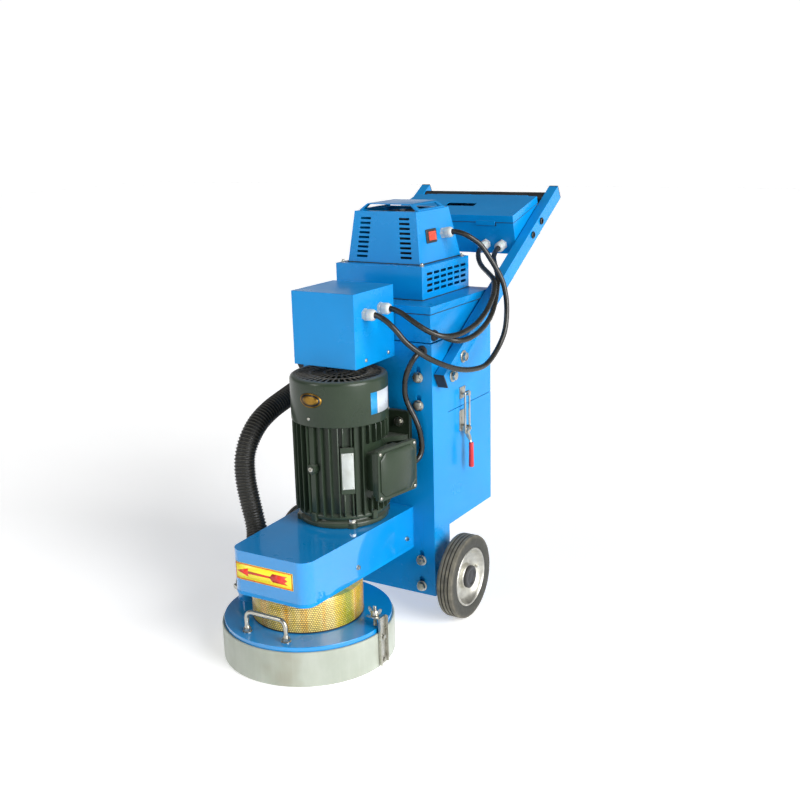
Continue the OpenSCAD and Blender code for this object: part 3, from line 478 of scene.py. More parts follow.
def tape_material(turn_radius):
    """Gold prismatic film: staggered cells with dark lines between, slow bands of hue round the drum, and
    painted glints in fine bright spots.
    """
    s = Surface("prismatic_tape", Metallic=0.1, Coat_Weight=0.5, Coat_Roughness=0.08)
    middle = spot(0, SPINDLE_Y, 0)
    centred = s.node("VectorMath", {"operation": "SUBTRACT"}, i0=s.place, i1=tuple(middle)).outputs[0]
    parts = s.node("SeparateXYZ", None, Vector=centred)
    angle = s.math("ARCTAN2", parts.outputs["Y"], parts.outputs["X"])
    along = s.math("MULTIPLY", angle, turn_radius)
    flat = s.node("CombineXYZ", None, X=along, Y=parts.outputs["Z"]).outputs[0]
    grid = {
        "Color1": (1, 1, 1, 1), "Color2": (0.78, 0.78, 0.78, 1), "Mortar": (0, 0, 0, 1), "Scale": 1.0,
        "Mortar Size": 0.0007, "Mortar Smooth": 0.3, "Bias": 0.0, "Brick Width": 0.0052, "Row Height": 0.0044,
    }
    cells = s.node("TexBrick", {"offset": 0.5, "squash": 1.0}, Vector=flat, **grid)
    bands = s.node("TexNoise", {"noise_dimensions": "1D"}, W=along, Scale=14.0, Detail=3.0).outputs["Fac"]
    hues = s.node("ValToRGB", None, Fac=bands)
    ramp = hues.color_ramp
    stops = [
        (0.32, (0.34, 0.42, 0.01)), (0.42, (0.9, 0.62, 0.01)), (0.5, (1.00, 0.74, 0.22)),
        (0.57, (0.98, 0.46, 0.01)), (0.68, (0.7, 0.62, 0.01)),
    ]
    while len(ramp.elements) < len(stops):
        ramp.elements.new(0.5)
    for element, (at, colour) in zip(ramp.elements, stops):
        element.position = at
        element.color = (*colour, 1)
    # Painted glints: fine bright yellow spots mixed into the film's colour.
    painted_glint = s.span(s.noise(300.0, 2.0), 0.45, 0.7, 0.0, 0.45)
    glinting_hues = s.mix(painted_glint, hues.outputs["Color"], (1.0, 0.85, 0.3))
    s.colour(s.mix(cells.outputs["Color"], (0.045, 0.03, 0.002), glinting_hues))
    s.roughness(s.span(cells.outputs["Fac"], 0.0, 1.0, 0.26, 0.55))
    s.bump(cells.outputs["Fac"], 0.0002, -0.8)
    return s.material


def motor_shell_material():
    """Dark green-grey enamel on a casting, with dust on its upper faces."""
    return painted(
        "motor_enamel", (0.03, 0.047, 0.028), (0.02, 0.033, 0.019), 0.32, 0.2, 260.0, 0.0004, 0.2,
        wear=(0.07, 0.07, 0.06),
    )


def dusty_grille_material():
    """The motor's top grille: enamel under a coat of grit."""
    s = Surface("gritty_grille")
    grit = s.span(s.noise(190.0, 8.0, None, 0.8), 0.42, 0.6)
    s.colour(s.mix(grit, (0.035, 0.037, 0.03), (0.16, 0.15, 0.13)))
    s.roughness(s.span(grit, 0.0, 1.0, 0.45, 0.85))
    s.bump(s.noise(260.0, 8.0), 0.0012, 0.8)
    return s.material


def floor_material():
    s = Surface("pale_floor", Emission_Strength=0.42, Specular_IOR_Level=0.2)
    s.shader.inputs["Emission Color"].default_value = (1, 1, 1, 1)
    s.colour(s.mix(s.span(s.noise(3.0, 4.0), 0.3, 0.7), (0.93, 0.93, 0.93), (0.96, 0.96, 0.96)))
    s.roughness(s.span(s.noise(8.0, 4.0), 0.3, 0.7, 0.6, 0.75))
    return s.material


BLUES = (0.001, 0.265, 0.66), (0.001, 0.23, 0.58)
BLUE = painted("blue_paint", *BLUES, 0.22, 0.012, 330.0, 0.00006, 0.12)
GLOSS_BLUE = painted("glossy_blue_paint", *BLUES, 0.2, 0.006, 330.0, 0.00004, 1.0, 1.7)
ENAMEL = motor_shell_material()
GRILLE = dusty_grille_material()
ZINC = metal("bright_zinc", (0.56, 0.55, 0.5), (0.42, 0.41, 0.35), 0.3)
STEEL = metal("ground_steel", (0.52, 0.52, 0.53), (0.42, 0.42, 0.43), 0.3, (1.0, 1.0, 6.0), 200.0)
IRON = metal("cast_iron", (0.16, 0.16, 0.16), (0.11, 0.11, 0.11), 0.55, scale=260.0, depth=0.0004)
ALLOY = metal("turned_alloy", (0.62, 0.61, 0.55), (0.42, 0.41, 0.37), 0.42, (8.0, 1.0, 1.0), 150.0)
BRONZE = metal("diamond_bond", (0.34, 0.28, 0.2), (0.24, 0.2, 0.15), 0.55, scale=900.0, depth=0.0006)
COPPER = metal("varnished_copper", (0.62, 0.3, 0.14), (0.45, 0.2, 0.09), 0.38, (1.0, 1.0, 0.2), 500.0)
BLACK = plastic("black_plastic", (0.016, 0.016, 0.017), (0.026, 0.026, 0.027), 0.42)
GRIP = plastic("grip_rubber", (0.014, 0.014, 0.014), (0.024, 0.023, 0.021), 0.55, 0.00015, 600.0)
SCREW = metal("blackened_screw", (0.06, 0.06, 0.06), (0.03, 0.03, 0.03), 0.38)
NYLON = plastic("white_nylon", (0.62, 0.65, 0.63), (0.52, 0.55, 0.53), 0.34, Subsurface_Weight=0.15,
                Subsurface_Scale=0.002)
RED = plastic("red_dip", (0.62, 0.015, 0.02), (0.5, 0.01, 0.015), 0.3, Coat_Weight=0.3)
ROCKER = plastic("red_rocker", (0.78, 0.1, 0.05), (0.66, 0.06, 0.03), 0.26, Transmission_Weight=0.15)
CORD = plastic("cable_jacket", (0.012, 0.012, 0.01), (0.022, 0.021, 0.017), 0.27, 0.00005, 500.0)
HOSE = toned("corrugated_hose", (0.006, 0.006, 0.005), (0.05, 0.047, 0.036), 0.5, 0.00003)
TYRE = toned("tyre_rubber", (0.02, 0.021, 0.018), (0.21, 0.19, 0.14), 0.62, 0.0002)
BELT = toned("belt_rubber", (0.02, 0.02, 0.02), (0.1, 0.1, 0.09), 0.6)
PLATE = metal("blank_plate", (0.6, 0.64, 0.62), (0.5, 0.53, 0.5), 0.38, (1.0, 1.0, 12.0), 180.0)
GOLD = metal("gilt_badge", (0.34, 0.19, 0.035), (0.2, 0.11, 0.02), 0.38, scale=220.0, depth=0.0002)
WHITE_STICKER = plastic("white_sticker", (0.58, 0.62, 0.66), (0.5, 0.54, 0.58), 0.32)
BLUE_STICKER = plastic("sticker_band", (0.02, 0.3, 0.62), (0.02, 0.25, 0.54), 0.32)
YELLOW = plastic("yellow_label", (0.82, 0.72, 0.03), (0.75, 0.63, 0.03), 0.3)
LABEL_RED = plastic("label_red", (0.7, 0.035, 0.02), (0.58, 0.03, 0.02), 0.3)
MEDIA = plastic("filter_media", (0.78, 0.76, 0.7), (0.68, 0.66, 0.6), 0.85, 0.0005, 1200.0)
GLASS = plastic("display_window", (0.02, 0.03, 0.035), (0.03, 0.04, 0.045), 0.12, Coat_Weight=0.6)
SKIRT = skirt_material()
TAPE = tape_material(0.125)


# ---------- cords, before everything else ----------

HOSE_ROUTE = [
    (-0.2155, 0.067, 0.513), (-0.2155, 0.032, 0.513), (-0.218, -0.038, 0.498), (-0.2225, -0.084, 0.484),
    (-0.2265, -0.126, 0.463), (-0.228, -0.161, 0.431), (-0.228, -0.182, 0.391), (-0.224, -0.189, 0.342),
    (-0.214, -0.191, 0.292), (-0.202, -0.194, 0.251), (-0.187, -0.205, 0.218), (-0.172, -0.232, 0.188),
    (-0.163, -0.261, 0.164), (-0.16, -0.282, 0.14), (-0.16, -0.282, 0.118),
]
VAC_ROUTE = [
    (0.109, 0.216, 0.887), (0.123, 0.216, 0.889), (0.145, 0.221, 0.884), (0.166, 0.233, 0.87),
    (0.185, 0.246, 0.848), (0.219, 0.266, 0.782), (0.232, 0.268, 0.74), (0.239, 0.26, 0.695),
    (0.242, 0.24, 0.65), (0.24, 0.2, 0.613), (0.239, 0.15, 0.592), (0.237, 0.095, 0.592),
    (0.231, 0.035, 0.603), (0.22, -0.022, 0.624), (0.202, -0.072, 0.652), (0.177, -0.104, 0.684),
    (0.156, -0.117, 0.714), (0.134, -0.123, 0.735), (0.112, -0.123, 0.744), (0.1, -0.123, 0.744),
]
CONTROL_ROUTE = [
    (0.095, 0.423, 0.83), (0.095, 0.408, 0.826), (0.1, 0.386, 0.818), (0.115, 0.359, 0.804),
    (0.14, 0.33, 0.791), (0.196, 0.274, 0.773), (0.217, 0.238, 0.754), (0.23, 0.195, 0.734),
    (0.237, 0.15, 0.714), (0.239, 0.105, 0.698), (0.237, 0.06, 0.689), (0.231, 0.015, 0.685),
    (0.217, -0.024, 0.689), (0.193, -0.045, 0.703), (0.166, -0.056, 0.722), (0.138, -0.06, 0.74),
    (0.114, -0.06, 0.748), (0.1, -0.06, 0.748),
]
LEAD_UPPER_ROUTE = [
    (0.141, 0.423, 0.83), (0.141, 0.408, 0.826), (0.145, 0.388, 0.819), (0.156, 0.36, 0.807),
    (0.197, 0.297, 0.776), (0.213, 0.261, 0.75), (0.226, 0.221, 0.721), (0.235, 0.178, 0.697),
    (0.238, 0.13, 0.679), (0.236, 0.084, 0.669), (0.228, 0.044, 0.667), (0.213, 0.021, 0.673),
    (0.195, 0.016, 0.68), (0.177, 0.016, 0.68),
]
LEAD_LOWER_ROUTE = [
    (0.154, 0.005, 0.645), (0.153, -0.01, 0.644), (0.149, -0.026, 0.635), (0.141, -0.035, 0.617),
    (0.131, -0.035, 0.594), (0.124, -0.03, 0.569), (0.122, -0.025, 0.543), (0.129, -0.021, 0.517),
    (0.141, -0.019, 0.494), (0.15, -0.016, 0.469), (0.153, -0.011, 0.442), (0.153, -0.009, 0.419),
    (0.151, -0.015, 0.402), (0.1475, -0.029, 0.393), (0.1445, -0.0467, 0.393),
]
RIB_PITCH = 0.0075
RIB_STEPS = 8


def add_cable(name, route, body, node):
    path = smooth_path([spot(*p) for p in route], 0.004)
    obj = piece(name, Shape().tube(path, CABLE_R, 20), CORD, body, [node])


def add_hose():
    path = smooth_path([spot(*p) for p in HOSE_ROUTE], RIB_PITCH / RIB_STEPS)
    radii, tones = [], []
    for i in range(len(path)):
        phase = i % RIB_STEPS / RIB_STEPS
        crest = max(0.0, math.cos(math.tau * phase)) ** 0.6
        radii.append(0.0226 + 0.0027 * crest)
        tones.append(crest)
    obj = piece("suction_hose", Shape().tube(path, radii, 40, tones=tones), HOSE, None,
                ["dust_hose"], sharp=60)
    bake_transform(obj)


# ---------- fittings ----------


def add_gland(shape, where, bore=CABLE_R + 0.0003):
    """A nylon cable gland standing on its frame's Z = 0, with a fluted, domed nut."""
    shape.hexagon(0.0135, 0.0065, where)
    shape.lathe([(0.0115, 0.006), (0.0115, 0.01)], where, 32)
    nut = where @ moved(0, 0, 0.0095)
    rings = []
    flutes = 48
    for z, r, depth in (
        (0.0, 0.0117, 0.0), (0.001, 0.0128, 0.0005), (0.011, 0.0128, 0.0005), (0.0135, 0.0122, 0.0),
        (0.0165, 0.0102, 0.0), (0.0178, 0.0086, 0.0), (0.0182, bore + 0.0008, 0.0), (0.016, bore, 0.0),
    ):
        ring = []
        for k in range(flutes):
            a = math.tau * k / flutes
            wave = r - depth * (k % 4 == 0)
            ring.append((wave * math.cos(a), wave * math.sin(a), z))
        rings.append(ring)
    shape.rings(rings, nut)


def add_glands():
    shape = Shape()
    for y, z in ((-0.123, 0.744), (-0.06, 0.748)):
        add_gland(shape, on_side(1, POWER_X, y, z))
    add_gland(shape, on_cowl_side(0.216, 0.885))
    for x in (0.095, 0.141):
        add_gland(shape, ON_BOX @ moved(x, 0, -GLAND_DROP) @ turned(90, "X"))
    add_gland(shape, ON_BOX @ moved(-0.12, 0.075, -0.102) @ turned(180, "X"), 0.007)
    piece("nylon_glands", shape, NYLON, "frame", ["cable_glands"])
    grommet = [
        (CABLE_R + 0.0002, 0.0), (0.0125, 0.0), (0.013, 0.002), (0.012, 0.005), (0.01, 0.0085),
        (0.0085, 0.0098), (CABLE_R + 0.0004, 0.0098),
    ]
    rim = on_side(1, TANK_X, 0.016, 0.68)
    piece("tank_grommet", Shape().lathe(grommet, rim, 40, closed=True), GRIP, "frame")
    hole = on_front(0.154, 0, 0.645)
    flat = [(r, z * 0.45) for r, z in grommet]
    piece("bracket_grommet", Shape().lathe(flat, hole, 40, closed=True), GRIP, "head")


def add_clamp(name, path, at, body):
    """A worm-drive clamp round the hose at one point of its path, with its screw housing."""
    i = min(range(len(path)), key=lambda k: (path[k] - at).length)
    ahead = (path[min(i + 2, len(path) - 1)] - path[max(i - 2, 0)]).normalized()
    where = facing(path[i], ahead, (1, 0, 0.2))
    shape = Shape()
    band = [(0.0262, -0.006), (0.027, -0.0062), (0.027, 0.0062), (0.0262, 0.006)]
    shape.lathe(band, where, 64, closed=True)
    tag = where @ turned(200, "Z")
    shape.block((0.0262, -0.009, -0.0065), (0.033, 0.009, 0.0065), tag, 0.0012)
    screw = tag @ moved(0.03, -0.0135, 0) @ turned(-90, "X")
    shape.hexagon(0.0042, 0.0052, screw)
    shape.lathe([(0.0028, 0.004), (0.0028, 0.024), (0.0022, 0.025)], screw, 20)
    piece(name, shape, ZINC, body)


def add_cuffs():
    """Soft cuffs on both ends of the hose, each with its clamp. The numbers count steps of 2 mm."""
    path = smooth_path([spot(*p) for p in HOSE_ROUTE], 0.002)
    for name, stretch, body in (("hose_cuff_top", path[:18], "frame"), ("hose_cuff_low", path[-11:], "head")):
        shape = Shape().tube(stretch, 0.0262, 48)
        piece(name, shape, GRIP, body)
    add_clamp("hose_clamp_top", path, path[9], "frame")
    add_clamp("hose_clamp_low", path, path[-6], "head")


# ---------- wheels ----------


def tyre_profile():
    """The closed section of a tyre, with dust on its lands."""
    points = [(0.0702, 0.0045, 0), (0.0745, 0.0018, 0.1), (0.085, 0.0008, 0.15), (0.094, 0.0015, 0.3)]
    points += [(0.0985, 0.0045, 0.7), (0.1, 0.008, 1.0)]
    for z in (0.013, 0.022, 0.031):
        points += [(0.1, z - 0.0003, 1.0), (0.0996, z, 0.5), (0.0972, z + 0.0004, 0.0)]
        points += [(0.0972, z + 0.0026, 0.0), (0.0996, z + 0.003, 0.5), (0.1, z + 0.0033, 1.0)]
    points += [(0.1, 0.0385, 1.0), (0.0988, 0.042, 0.8), (0.0955, 0.044, 0.35), (0.09, 0.0447, 0.12)]
    points += [(0.08, 0.0444, 0.1), (0.0745, 0.0436, 0.1), (0.0702, 0.0415, 0)]
    return points


def add_wheel(side, word):
    where = wheel_frame(side)
    piece("tyre_" + word + "_tread", Shape().lathe(tyre_profile(), where, 128, closed=True), TYRE,
          "wheel_" + word, ["tyre_" + word])
    dish = [
        (0.0703, 0.003), (0.0703, 0.042), (0.069, 0.0434), (0.0665, 0.0436), (0.0648, 0.0424),
        (0.0632, 0.039), (0.0585, 0.032), (0.053, 0.0278), (0.045, 0.0252), (0.035, 0.0246),
        (0.0315, 0.0256), (0.0295, 0.029), (0.0288, 0.035), (0.0272, 0.0362), (0.0105, 0.0362),
        (0.0105, 0.0025), (0.028, 0.0025), (0.029, 0.018), (0.053, 0.019), (0.057, 0.018),
        (0.059, 0.0035), (0.062, 0.0025),
    ]
    hub = Shape().lathe(dish, where, 96, closed=True)
    for k in range(6):
        rib = where @ turned(60 * k + 15, "Z")
        hub.block((0.0275, -0.0022, 0.0035), (0.059, 0.0022, 0.0185), rib, 0.0006)
    hub.lathe([(0.0035, 0.0), (0.0035, 0.0065), (0.0025, 0.0078)],
              where @ turned(95, "Z") @ moved(0.056, 0, 0.0285) @ turned(-35, "Y"), 16)
    piece("hub_" + word + "_dish", hub, ALLOY, "wheel_" + word, ["hub_" + word])
    cap = [
        (0.0268, 0.035), (0.0272, 0.0405), (0.0268, 0.0425), (0.025, 0.0438), (0.0215, 0.0441),
        (0.018, 0.0436), (0.0165, 0.0422), (0.01, 0.0418), (0.008, 0.0424), (0.0004, 0.0426),
    ]
    piece("hub_cap_" + word, Shape().lathe(cap, where, 64), BLACK, "wheel_" + word)


# ---------- motor ----------

CORE_R = 0.098
FIN_R = 0.11
FIN_Z = (0.29, 0.505)
BOX_Z = (0.332, 0.455)
BOSS_ANGLE = -94


def add_fin(shape, angle, z0, z1, half_root=0.0021, half_tip=0.0013, reach=FIN_R):
    """A cast fin with draft, standing out of the motor body from z0 to z1."""
    rings = []
    for z, r in ((z0, reach - 0.007), (z0 + 0.003, reach - 0.001), (z0 + 0.006, reach), (z1 - 0.004, reach),
                 (z1, reach - 0.003)):
        rings.append([
            (CORE_R - 0.002, -half_root, z), (r - 0.0006, -half_tip, z), (r, 0.0, z),
            (r - 0.0006, half_tip, z), (CORE_R - 0.002, half_root, z),
        ])
    shape.rings(rings, MOTOR_AXIS @ turned(angle, "Z"))


def add_motor_body():
    shape = Shape()
    shell = [
        (0.09, 0.29), (0.1035, 0.29), (0.1045, 0.2915), (0.1045, 0.2965), (0.103, 0.2985),
        (CORE_R, 0.303), (CORE_R, 0.504), (0.0965, 0.505), (0.085, 0.505), (0.0845, 0.29),
    ]
    shape.lathe(shell, MOTOR_AXIS, 128, closed=True)
    for angle in range(-180, 180, 10):
        turn = (angle - 90 + 180) % 360 - 180
        if abs(turn) <= 25 or angle == -90:
            continue
        if -30 < angle < 45:
            add_fin(shape, angle, BOX_Z[1] + 0.004, FIN_Z[1])
            add_fin(shape, angle, FIN_Z[0] + 0.006, BOX_Z[0] - 0.001)
        elif angle != -50:
            add_fin(shape, angle, FIN_Z[0] + 0.004, FIN_Z[1])
    add_fin(shape, BOSS_ANGLE, FIN_Z[0] + 0.004, FIN_Z[1], 0.008, 0.0066, 0.1065)
    pad = MOTOR_AXIS @ turned(-49, "Z")
    shape.block((0.094, -0.0165, 0.35), (0.1065, 0.0165, 0.458), pad, 0.001)
    for z0, z1 in ((0.296, 0.35), (0.458, 0.505)):
        for angle in (-54, -44):
            add_fin(shape, angle, z0, z1)
    boss = on_motor(BOSS_ANGLE, 0.098, 0.406)
    shape.lathe([(0.0135, 0.0), (0.012, 0.01), (0.0115, 0.0128), (0.01, 0.0138), (0.0001, 0.0138)], boss, 40)
    foot = facing(spot(0, -0.012, 0.4075), (0, 1, 0))
    shape.prism(rounded(0.246, 0.191, 0.01), 0.0, 0.012, foot, 0.0012)
    for z in (0.352, 0.436):
        for side in (-1, 1):
            rib = [(0.012, 0.0), (0.118, 0.0), (0.092, -0.03), (0.08, -0.056), (0.012, -0.056)]
            outline = [(side * x, y - 0.012) for x, y in rib]
            low = [(x, y, z) for x, y in outline]
            high = [(x, y, z + 0.012) for x, y in outline]
            shape.rings([low, high], placed(0, 0, 0))
    piece("motor_casting", shape, ENAMEL, "head", ["motor_frame"], sharp=40)


def add_motor_shields():
    shape = Shape()
    flange = [
        (0.026, 0.2682), (0.101, 0.2682), (0.104, 0.27), (0.1045, 0.272), (0.1045, 0.278),
        (0.1035, 0.28), (0.096, 0.283), (0.093, 0.2895), (0.026, 0.2895),
    ]
    shape.lathe(flange, MOTOR_AXIS, 128, closed=True)
    for angle in (45, 135, 225, 315):
        ear = MOTOR_AXIS @ turned(angle, "Z")
        shape.lathe([(0.013, 0.2684), (0.013, 0.279), (0.012, 0.28)],
                    ear @ moved(0.0965, 0, 0), 32)
    for angle in (-95, -15, 75, 195):
        lug = MOTOR_AXIS @ turned(angle, "Z")
        shape.block((0.092, -0.007, 0.283), (0.1095, 0.007, 0.302), lug, 0.0015)
    upper = [(0.018, 0.505), (0.0995, 0.505), (0.1, 0.506), (0.1, 0.5125), (0.099, 0.513),
             (0.018, 0.513)]
    shape.lathe(upper, MOTOR_AXIS, 96, closed=True)
    piece("motor_shields", shape, ENAMEL, "head", ["end_shields"], sharp=40)


def add_fan_cowl():
    n = 240
    wall = Shape()
    side = [
        (0.1092, 0.5052), (0.1105, 0.505), (0.111, 0.506), (0.111, 0.596), (0.1103, 0.6005),
        (0.108, 0.604), (0.1045, 0.6058), (0.102, 0.606), (0.102, 0.6045), (0.104, 0.6043),
        (0.107, 0.6025), (0.109, 0.5995), (0.1095, 0.596), (0.1095, 0.506),
    ]
    wall.lathe(side, MOTOR_AXIS, 128, closed=True)
    piece("fan_cowl_shell", wall, ENAMEL, "head", ["fan_cowl"], sharp=40)
    radii = [0.006, 0.016, 0.03, 0.036, 0.062, 0.068, 0.096, 0.1025]
    open_bands = {1: (20, 13), 3: (10, 7), 5: (6, 4)}
    verts = [
        (r * math.cos(math.tau * k / n), r * math.sin(math.tau * k / n), 0.6058)
        for r in radii for k in range(n)
    ]
    faces = []
    for band in range(len(radii) - 1):
        every, gap = open_bands.get(band, (1, 0))
        for k in range(n):
            if k % every < gap:
                continue
            a, b = band * n, (band + 1) * n
            faces.append([a + k, a + (k + 1) % n, b + (k + 1) % n, b + k])
    faces.append(list(range(n))[::-1])
    grille = Shape().add(verts, faces, MOTOR_AXIS)
    piece("fan_grille", grille, GRILLE, "head", thick=0.0016)
    screws = Shape()
    for angle in (-94.5, 25.5, 145.5):
        at = on_motor(angle, 0.1108, 0.522)
        add_pan_screw(screws, at, 0.0036, 0.0018)
    piece("cowl_screws", screws, ZINC, "head")


def add_terminal_box():
    body = Shape()
    along_x = TERMINAL @ turned(90, "Y") @ turned(90, "Z")
    body.prism(rounded(0.104, 0.092, 0.01), -0.016, 0.018, along_x, 0.001)
    body.prism(rounded(0.122, 0.108, 0.008), 0.012, 0.026, along_x, 0.0016)
    body.prism(rounded(0.132, 0.118, 0.007), 0.0245, 0.0328, along_x, 0.0008)
    inlet = TERMINAL @ moved(0.023, 0.0595, 0) @ turned(-90, "X")
    collar = [(0.0068, 0.0), (0.0118, 0.0), (0.0118, 0.0045), (0.0108, 0.0062), (0.0068, 0.0062)]
    body.lathe(collar, inlet, 36, closed=True)
    piece("terminal_housing", body, ENAMEL, "head", ["terminal_box"], sharp=40)
    lid = Shape()
    lid.prism(rounded(0.132, 0.118, 0.007), 0.0332, 0.0355, along_x, 0.0006)
    cut = 0.016

    def panel(inset=0.0):
        x, y = 0.059 - inset, 0.0515 - inset
        return [(x, cut - y), (x, y - cut), (x - cut, y), (cut - x, y), (-x, y - cut), (-x, cut - y),
                (cut - x, -y), (x - cut, -y)]

    lid.prism(panel, 0.035, 0.039, along_x, 0.0026)
    piece("terminal_cover", lid, ENAMEL, "head", ["terminal_lid"], sharp=40)


def wrap(outline, axis, angle, z, radius):
    """Flat points (across, up) laid on a cylinder about an axis at that angle and height."""
    placed = []
    for across, up in outline:
        a = math.radians(angle) + across / radius
        placed.append(axis @ Vector((radius * math.cos(a), radius * math.sin(a), z + up)))
    return placed


def curved_plate(name, width, height, axis, angle, z, radius, material, body, thick=0.0004, shift=0.0):
    """A thin plate bent round a cylinder. shift moves it sideways along the curve."""
    columns = 12
    verts, faces = [], []
    for up in (-height / 2, height / 2):
        row = [(shift - width / 2 + width * k / columns, up) for k in range(columns + 1)]
        verts += wrap(row, axis, angle, z, radius)
    for k in range(columns):
        faces.append([k, k + 1, columns + 2 + k, columns + 1 + k])
    return piece(name, Shape().add(verts, faces), material, body, thick=thick)


def add_plates():
    """Blank plates where the motor carries its rating plate, badge and sticker."""
    plate = MOTOR_AXIS @ turned(-49, "Z")
    shape = Shape()
    shape.block((0.1062, -0.0135, 0.362), (0.1074, 0.0135, 0.446), plate, 0.0003)
    piece("rating_plate", shape, PLATE, "head")
    rivets = Shape()
    for y in (-0.0105, 0.0105):
        for z in (0.366, 0.442):
            at = plate @ moved(0.1072, y, z) @ turned(90, "Y")
            rivets.lathe([(0.0017, 0), (0.0015, 0.0007), (0.0009, 0.0011), (0.0001, 0.0012)], at, 16)
    piece("plate_rivets", rivets, ALLOY, "head")
    n = 48
    for name, w, h, radius, material in (
        ("badge_rim", 0.029, 0.0165, 0.112, GOLD), ("badge_face", 0.0255, 0.0135, 0.1124, SCREW),
        ("badge_centre", 0.021, 0.01, 0.1127, GOLD),
    ):
        ring = [(w * math.cos(math.tau * k / n), h * math.sin(math.tau * k / n)) for k in range(n)]
        inner = [(x * 0.5, y * 0.5) for x, y in ring]
        verts = wrap(ring + inner + [(0, 0)], MOTOR_AXIS, -91, 0.565, radius)
        faces = [[k, (k + 1) % n, n + (k + 1) % n, n + k] for k in range(n)]
        faces += [[n + k, n + (k + 1) % n, 2 * n] for k in range(n)]
        piece(name, Shape().add(verts, faces), material, "head", thick=0.0008)
    curved_plate("sticker_band", 0.02, 0.049, MOTOR_AXIS, 2, 0.551, 0.1113, BLUE_STICKER, "head",
                 shift=-0.0285)
    curved_plate("sticker_field", 0.057, 0.049, MOTOR_AXIS, 2, 0.551, 0.1113, WHITE_STICKER, "head",
                 shift=0.01)


# ---------- fasteners ----------


def add_pan_screw(shape, where, radius=0.005, height=0.0028, slot=0):
    """A domed screw head with a round recess."""
    dome = [(radius, 0.0), (radius, height * 0.35), (radius * 0.85, height * 0.75), (radius * 0.5, height)]
    shape.lathe(dome + [(radius * 0.3, height), (radius * 0.22, height * 0.5)], where, 28, slot)


def add_hex_bolt(shape, where, radius, height, washer=0.0, washer_t=0.0025, thread=0.0):
    """A hexagon head with its washer, standing on Z = 0, and a bit of thread past a nut."""
    if washer:
        rim = [(washer - 0.0004, 0), (washer, 0.0004)]
        rim += [(washer, washer_t - 0.0004), (washer - 0.0006, washer_t)]
        shape.lathe(rim, where, 48)
    lifted = where @ moved(0, 0, washer_t if washer else 0) @ turned(17, "Z")
    shape.lathe([(radius * 0.93, 0), (radius * 0.93, 0.0006)], lifted, 36)
    shape.hexagon(radius, height, lifted @ moved(0, 0, 0.0004))
    if thread:
        profile = [(radius * 0.52, height)]
        z = height
        while z < height + thread - 0.0015:
            profile += [(radius * 0.54, z + 0.0006), (radius * 0.47, z + 0.0013)]
            z += 0.0015
        profile += [(radius * 0.42, height + thread)]
        shape.lathe(profile, lifted, 24)


def add_frame_fasteners():
    shape = Shape()
    for side in (-1, 1):
        for z in BOLT_Z:
            front = on_front(side * BOLT_X, -0.0003, z)
            add_hex_bolt(shape, front, 0.0105, 0.0075, 0.013)
            back = facing(spot(side * BOLT_X, 0.0125, z), (0, 1, 0))
            add_hex_bolt(shape, back, 0.0105, 0.009, thread=0.004)
        for y, z in ARM_BOLTS:
            out = on_side(side, ARM_OUTER_X, y, z)
            add_hex_bolt(shape, out, 0.0105, 0.0072, 0.0145)
            spacer = facing(spot(side * 0.1795, y, z), (-side, 0, 0))
            shape.lathe([(0.008, 0.0), (0.008, 0.005 if y > 0.08 else 0.0078)], spacer, 32)
    piece("frame_hex_bolts", shape, ZINC, "frame", ["frame_bolts"])
    sockets = Shape()
    for side in (-1, 1):
        for y, z in BOX_BOLTS:
            out = on_side(side, ARM_OUTER_X, y, z)
            head = [(0.0084, 0.0), (0.0088, 0.0005), (0.0088, 0.0032), (0.0078, 0.004), (0.0046, 0.004),
                    (0.0044, 0.0012), (0.0001, 0.001)]
            sockets.lathe(head, out, 36)
    piece("box_socket_screws", sockets, SCREW, "frame")


HOUSING_REAR = 0.121
HOUSING_FRONT = 0.103
HOUSING_DEPTH = 0.378


def housing_side_x(y):
    """Half the belt housing's width at that y: it narrows towards the front."""
    return HOUSING_REAR + (HOUSING_FRONT - HOUSING_REAR) * y / (-HOUSING_DEPTH)


def add_head_fasteners():
    shape = Shape()
    lean = math.atan2(HOUSING_REAR - HOUSING_FRONT, HOUSING_DEPTH)
    for side in (-1, 1):
        for y in (-0.227, -0.03):
            out = (side * math.cos(lean), -math.sin(lean), 0)
            wall = facing(spot(side * housing_side_x(y), y, 0.197), out)
            add_hex_bolt(shape, wall, 0.005, 0.0032, 0.006, 0.0008)
        for z in (0.337, 0.477):
            foot = on_front(side * 0.095, -0.012, z)
            add_hex_bolt(shape, foot, 0.009, 0.007, 0.0118, 0.0018)
    for angle in (45, 135, 225, 315):
        ear = MOTOR_AXIS @ turned(angle, "Z") @ moved(0.0965, 0, 0.28)
        add_hex_bolt(shape, ear, 0.0085, 0.0062, 0.0108, 0.0015)
    for y in (-0.058, 0.058):
        for z in (-0.051, 0.051):
            add_pan_screw(shape, TERMINAL @ moved(0.0355, y, z) @ turned(90, "Y"), 0.0044, 0.0024)
    boss = on_motor(BOSS_ANGLE, 0.1116, 0.406)
    head = [(0.0058, 0.0), (0.0058, 0.002), (0.005, 0.0028), (0.003, 0.0028), (0.0028, 0.0008)]
    shape.lathe(head, boss, 28)
    piece("head_hex_screws", shape, ZINC, "head", ["head_screws"])


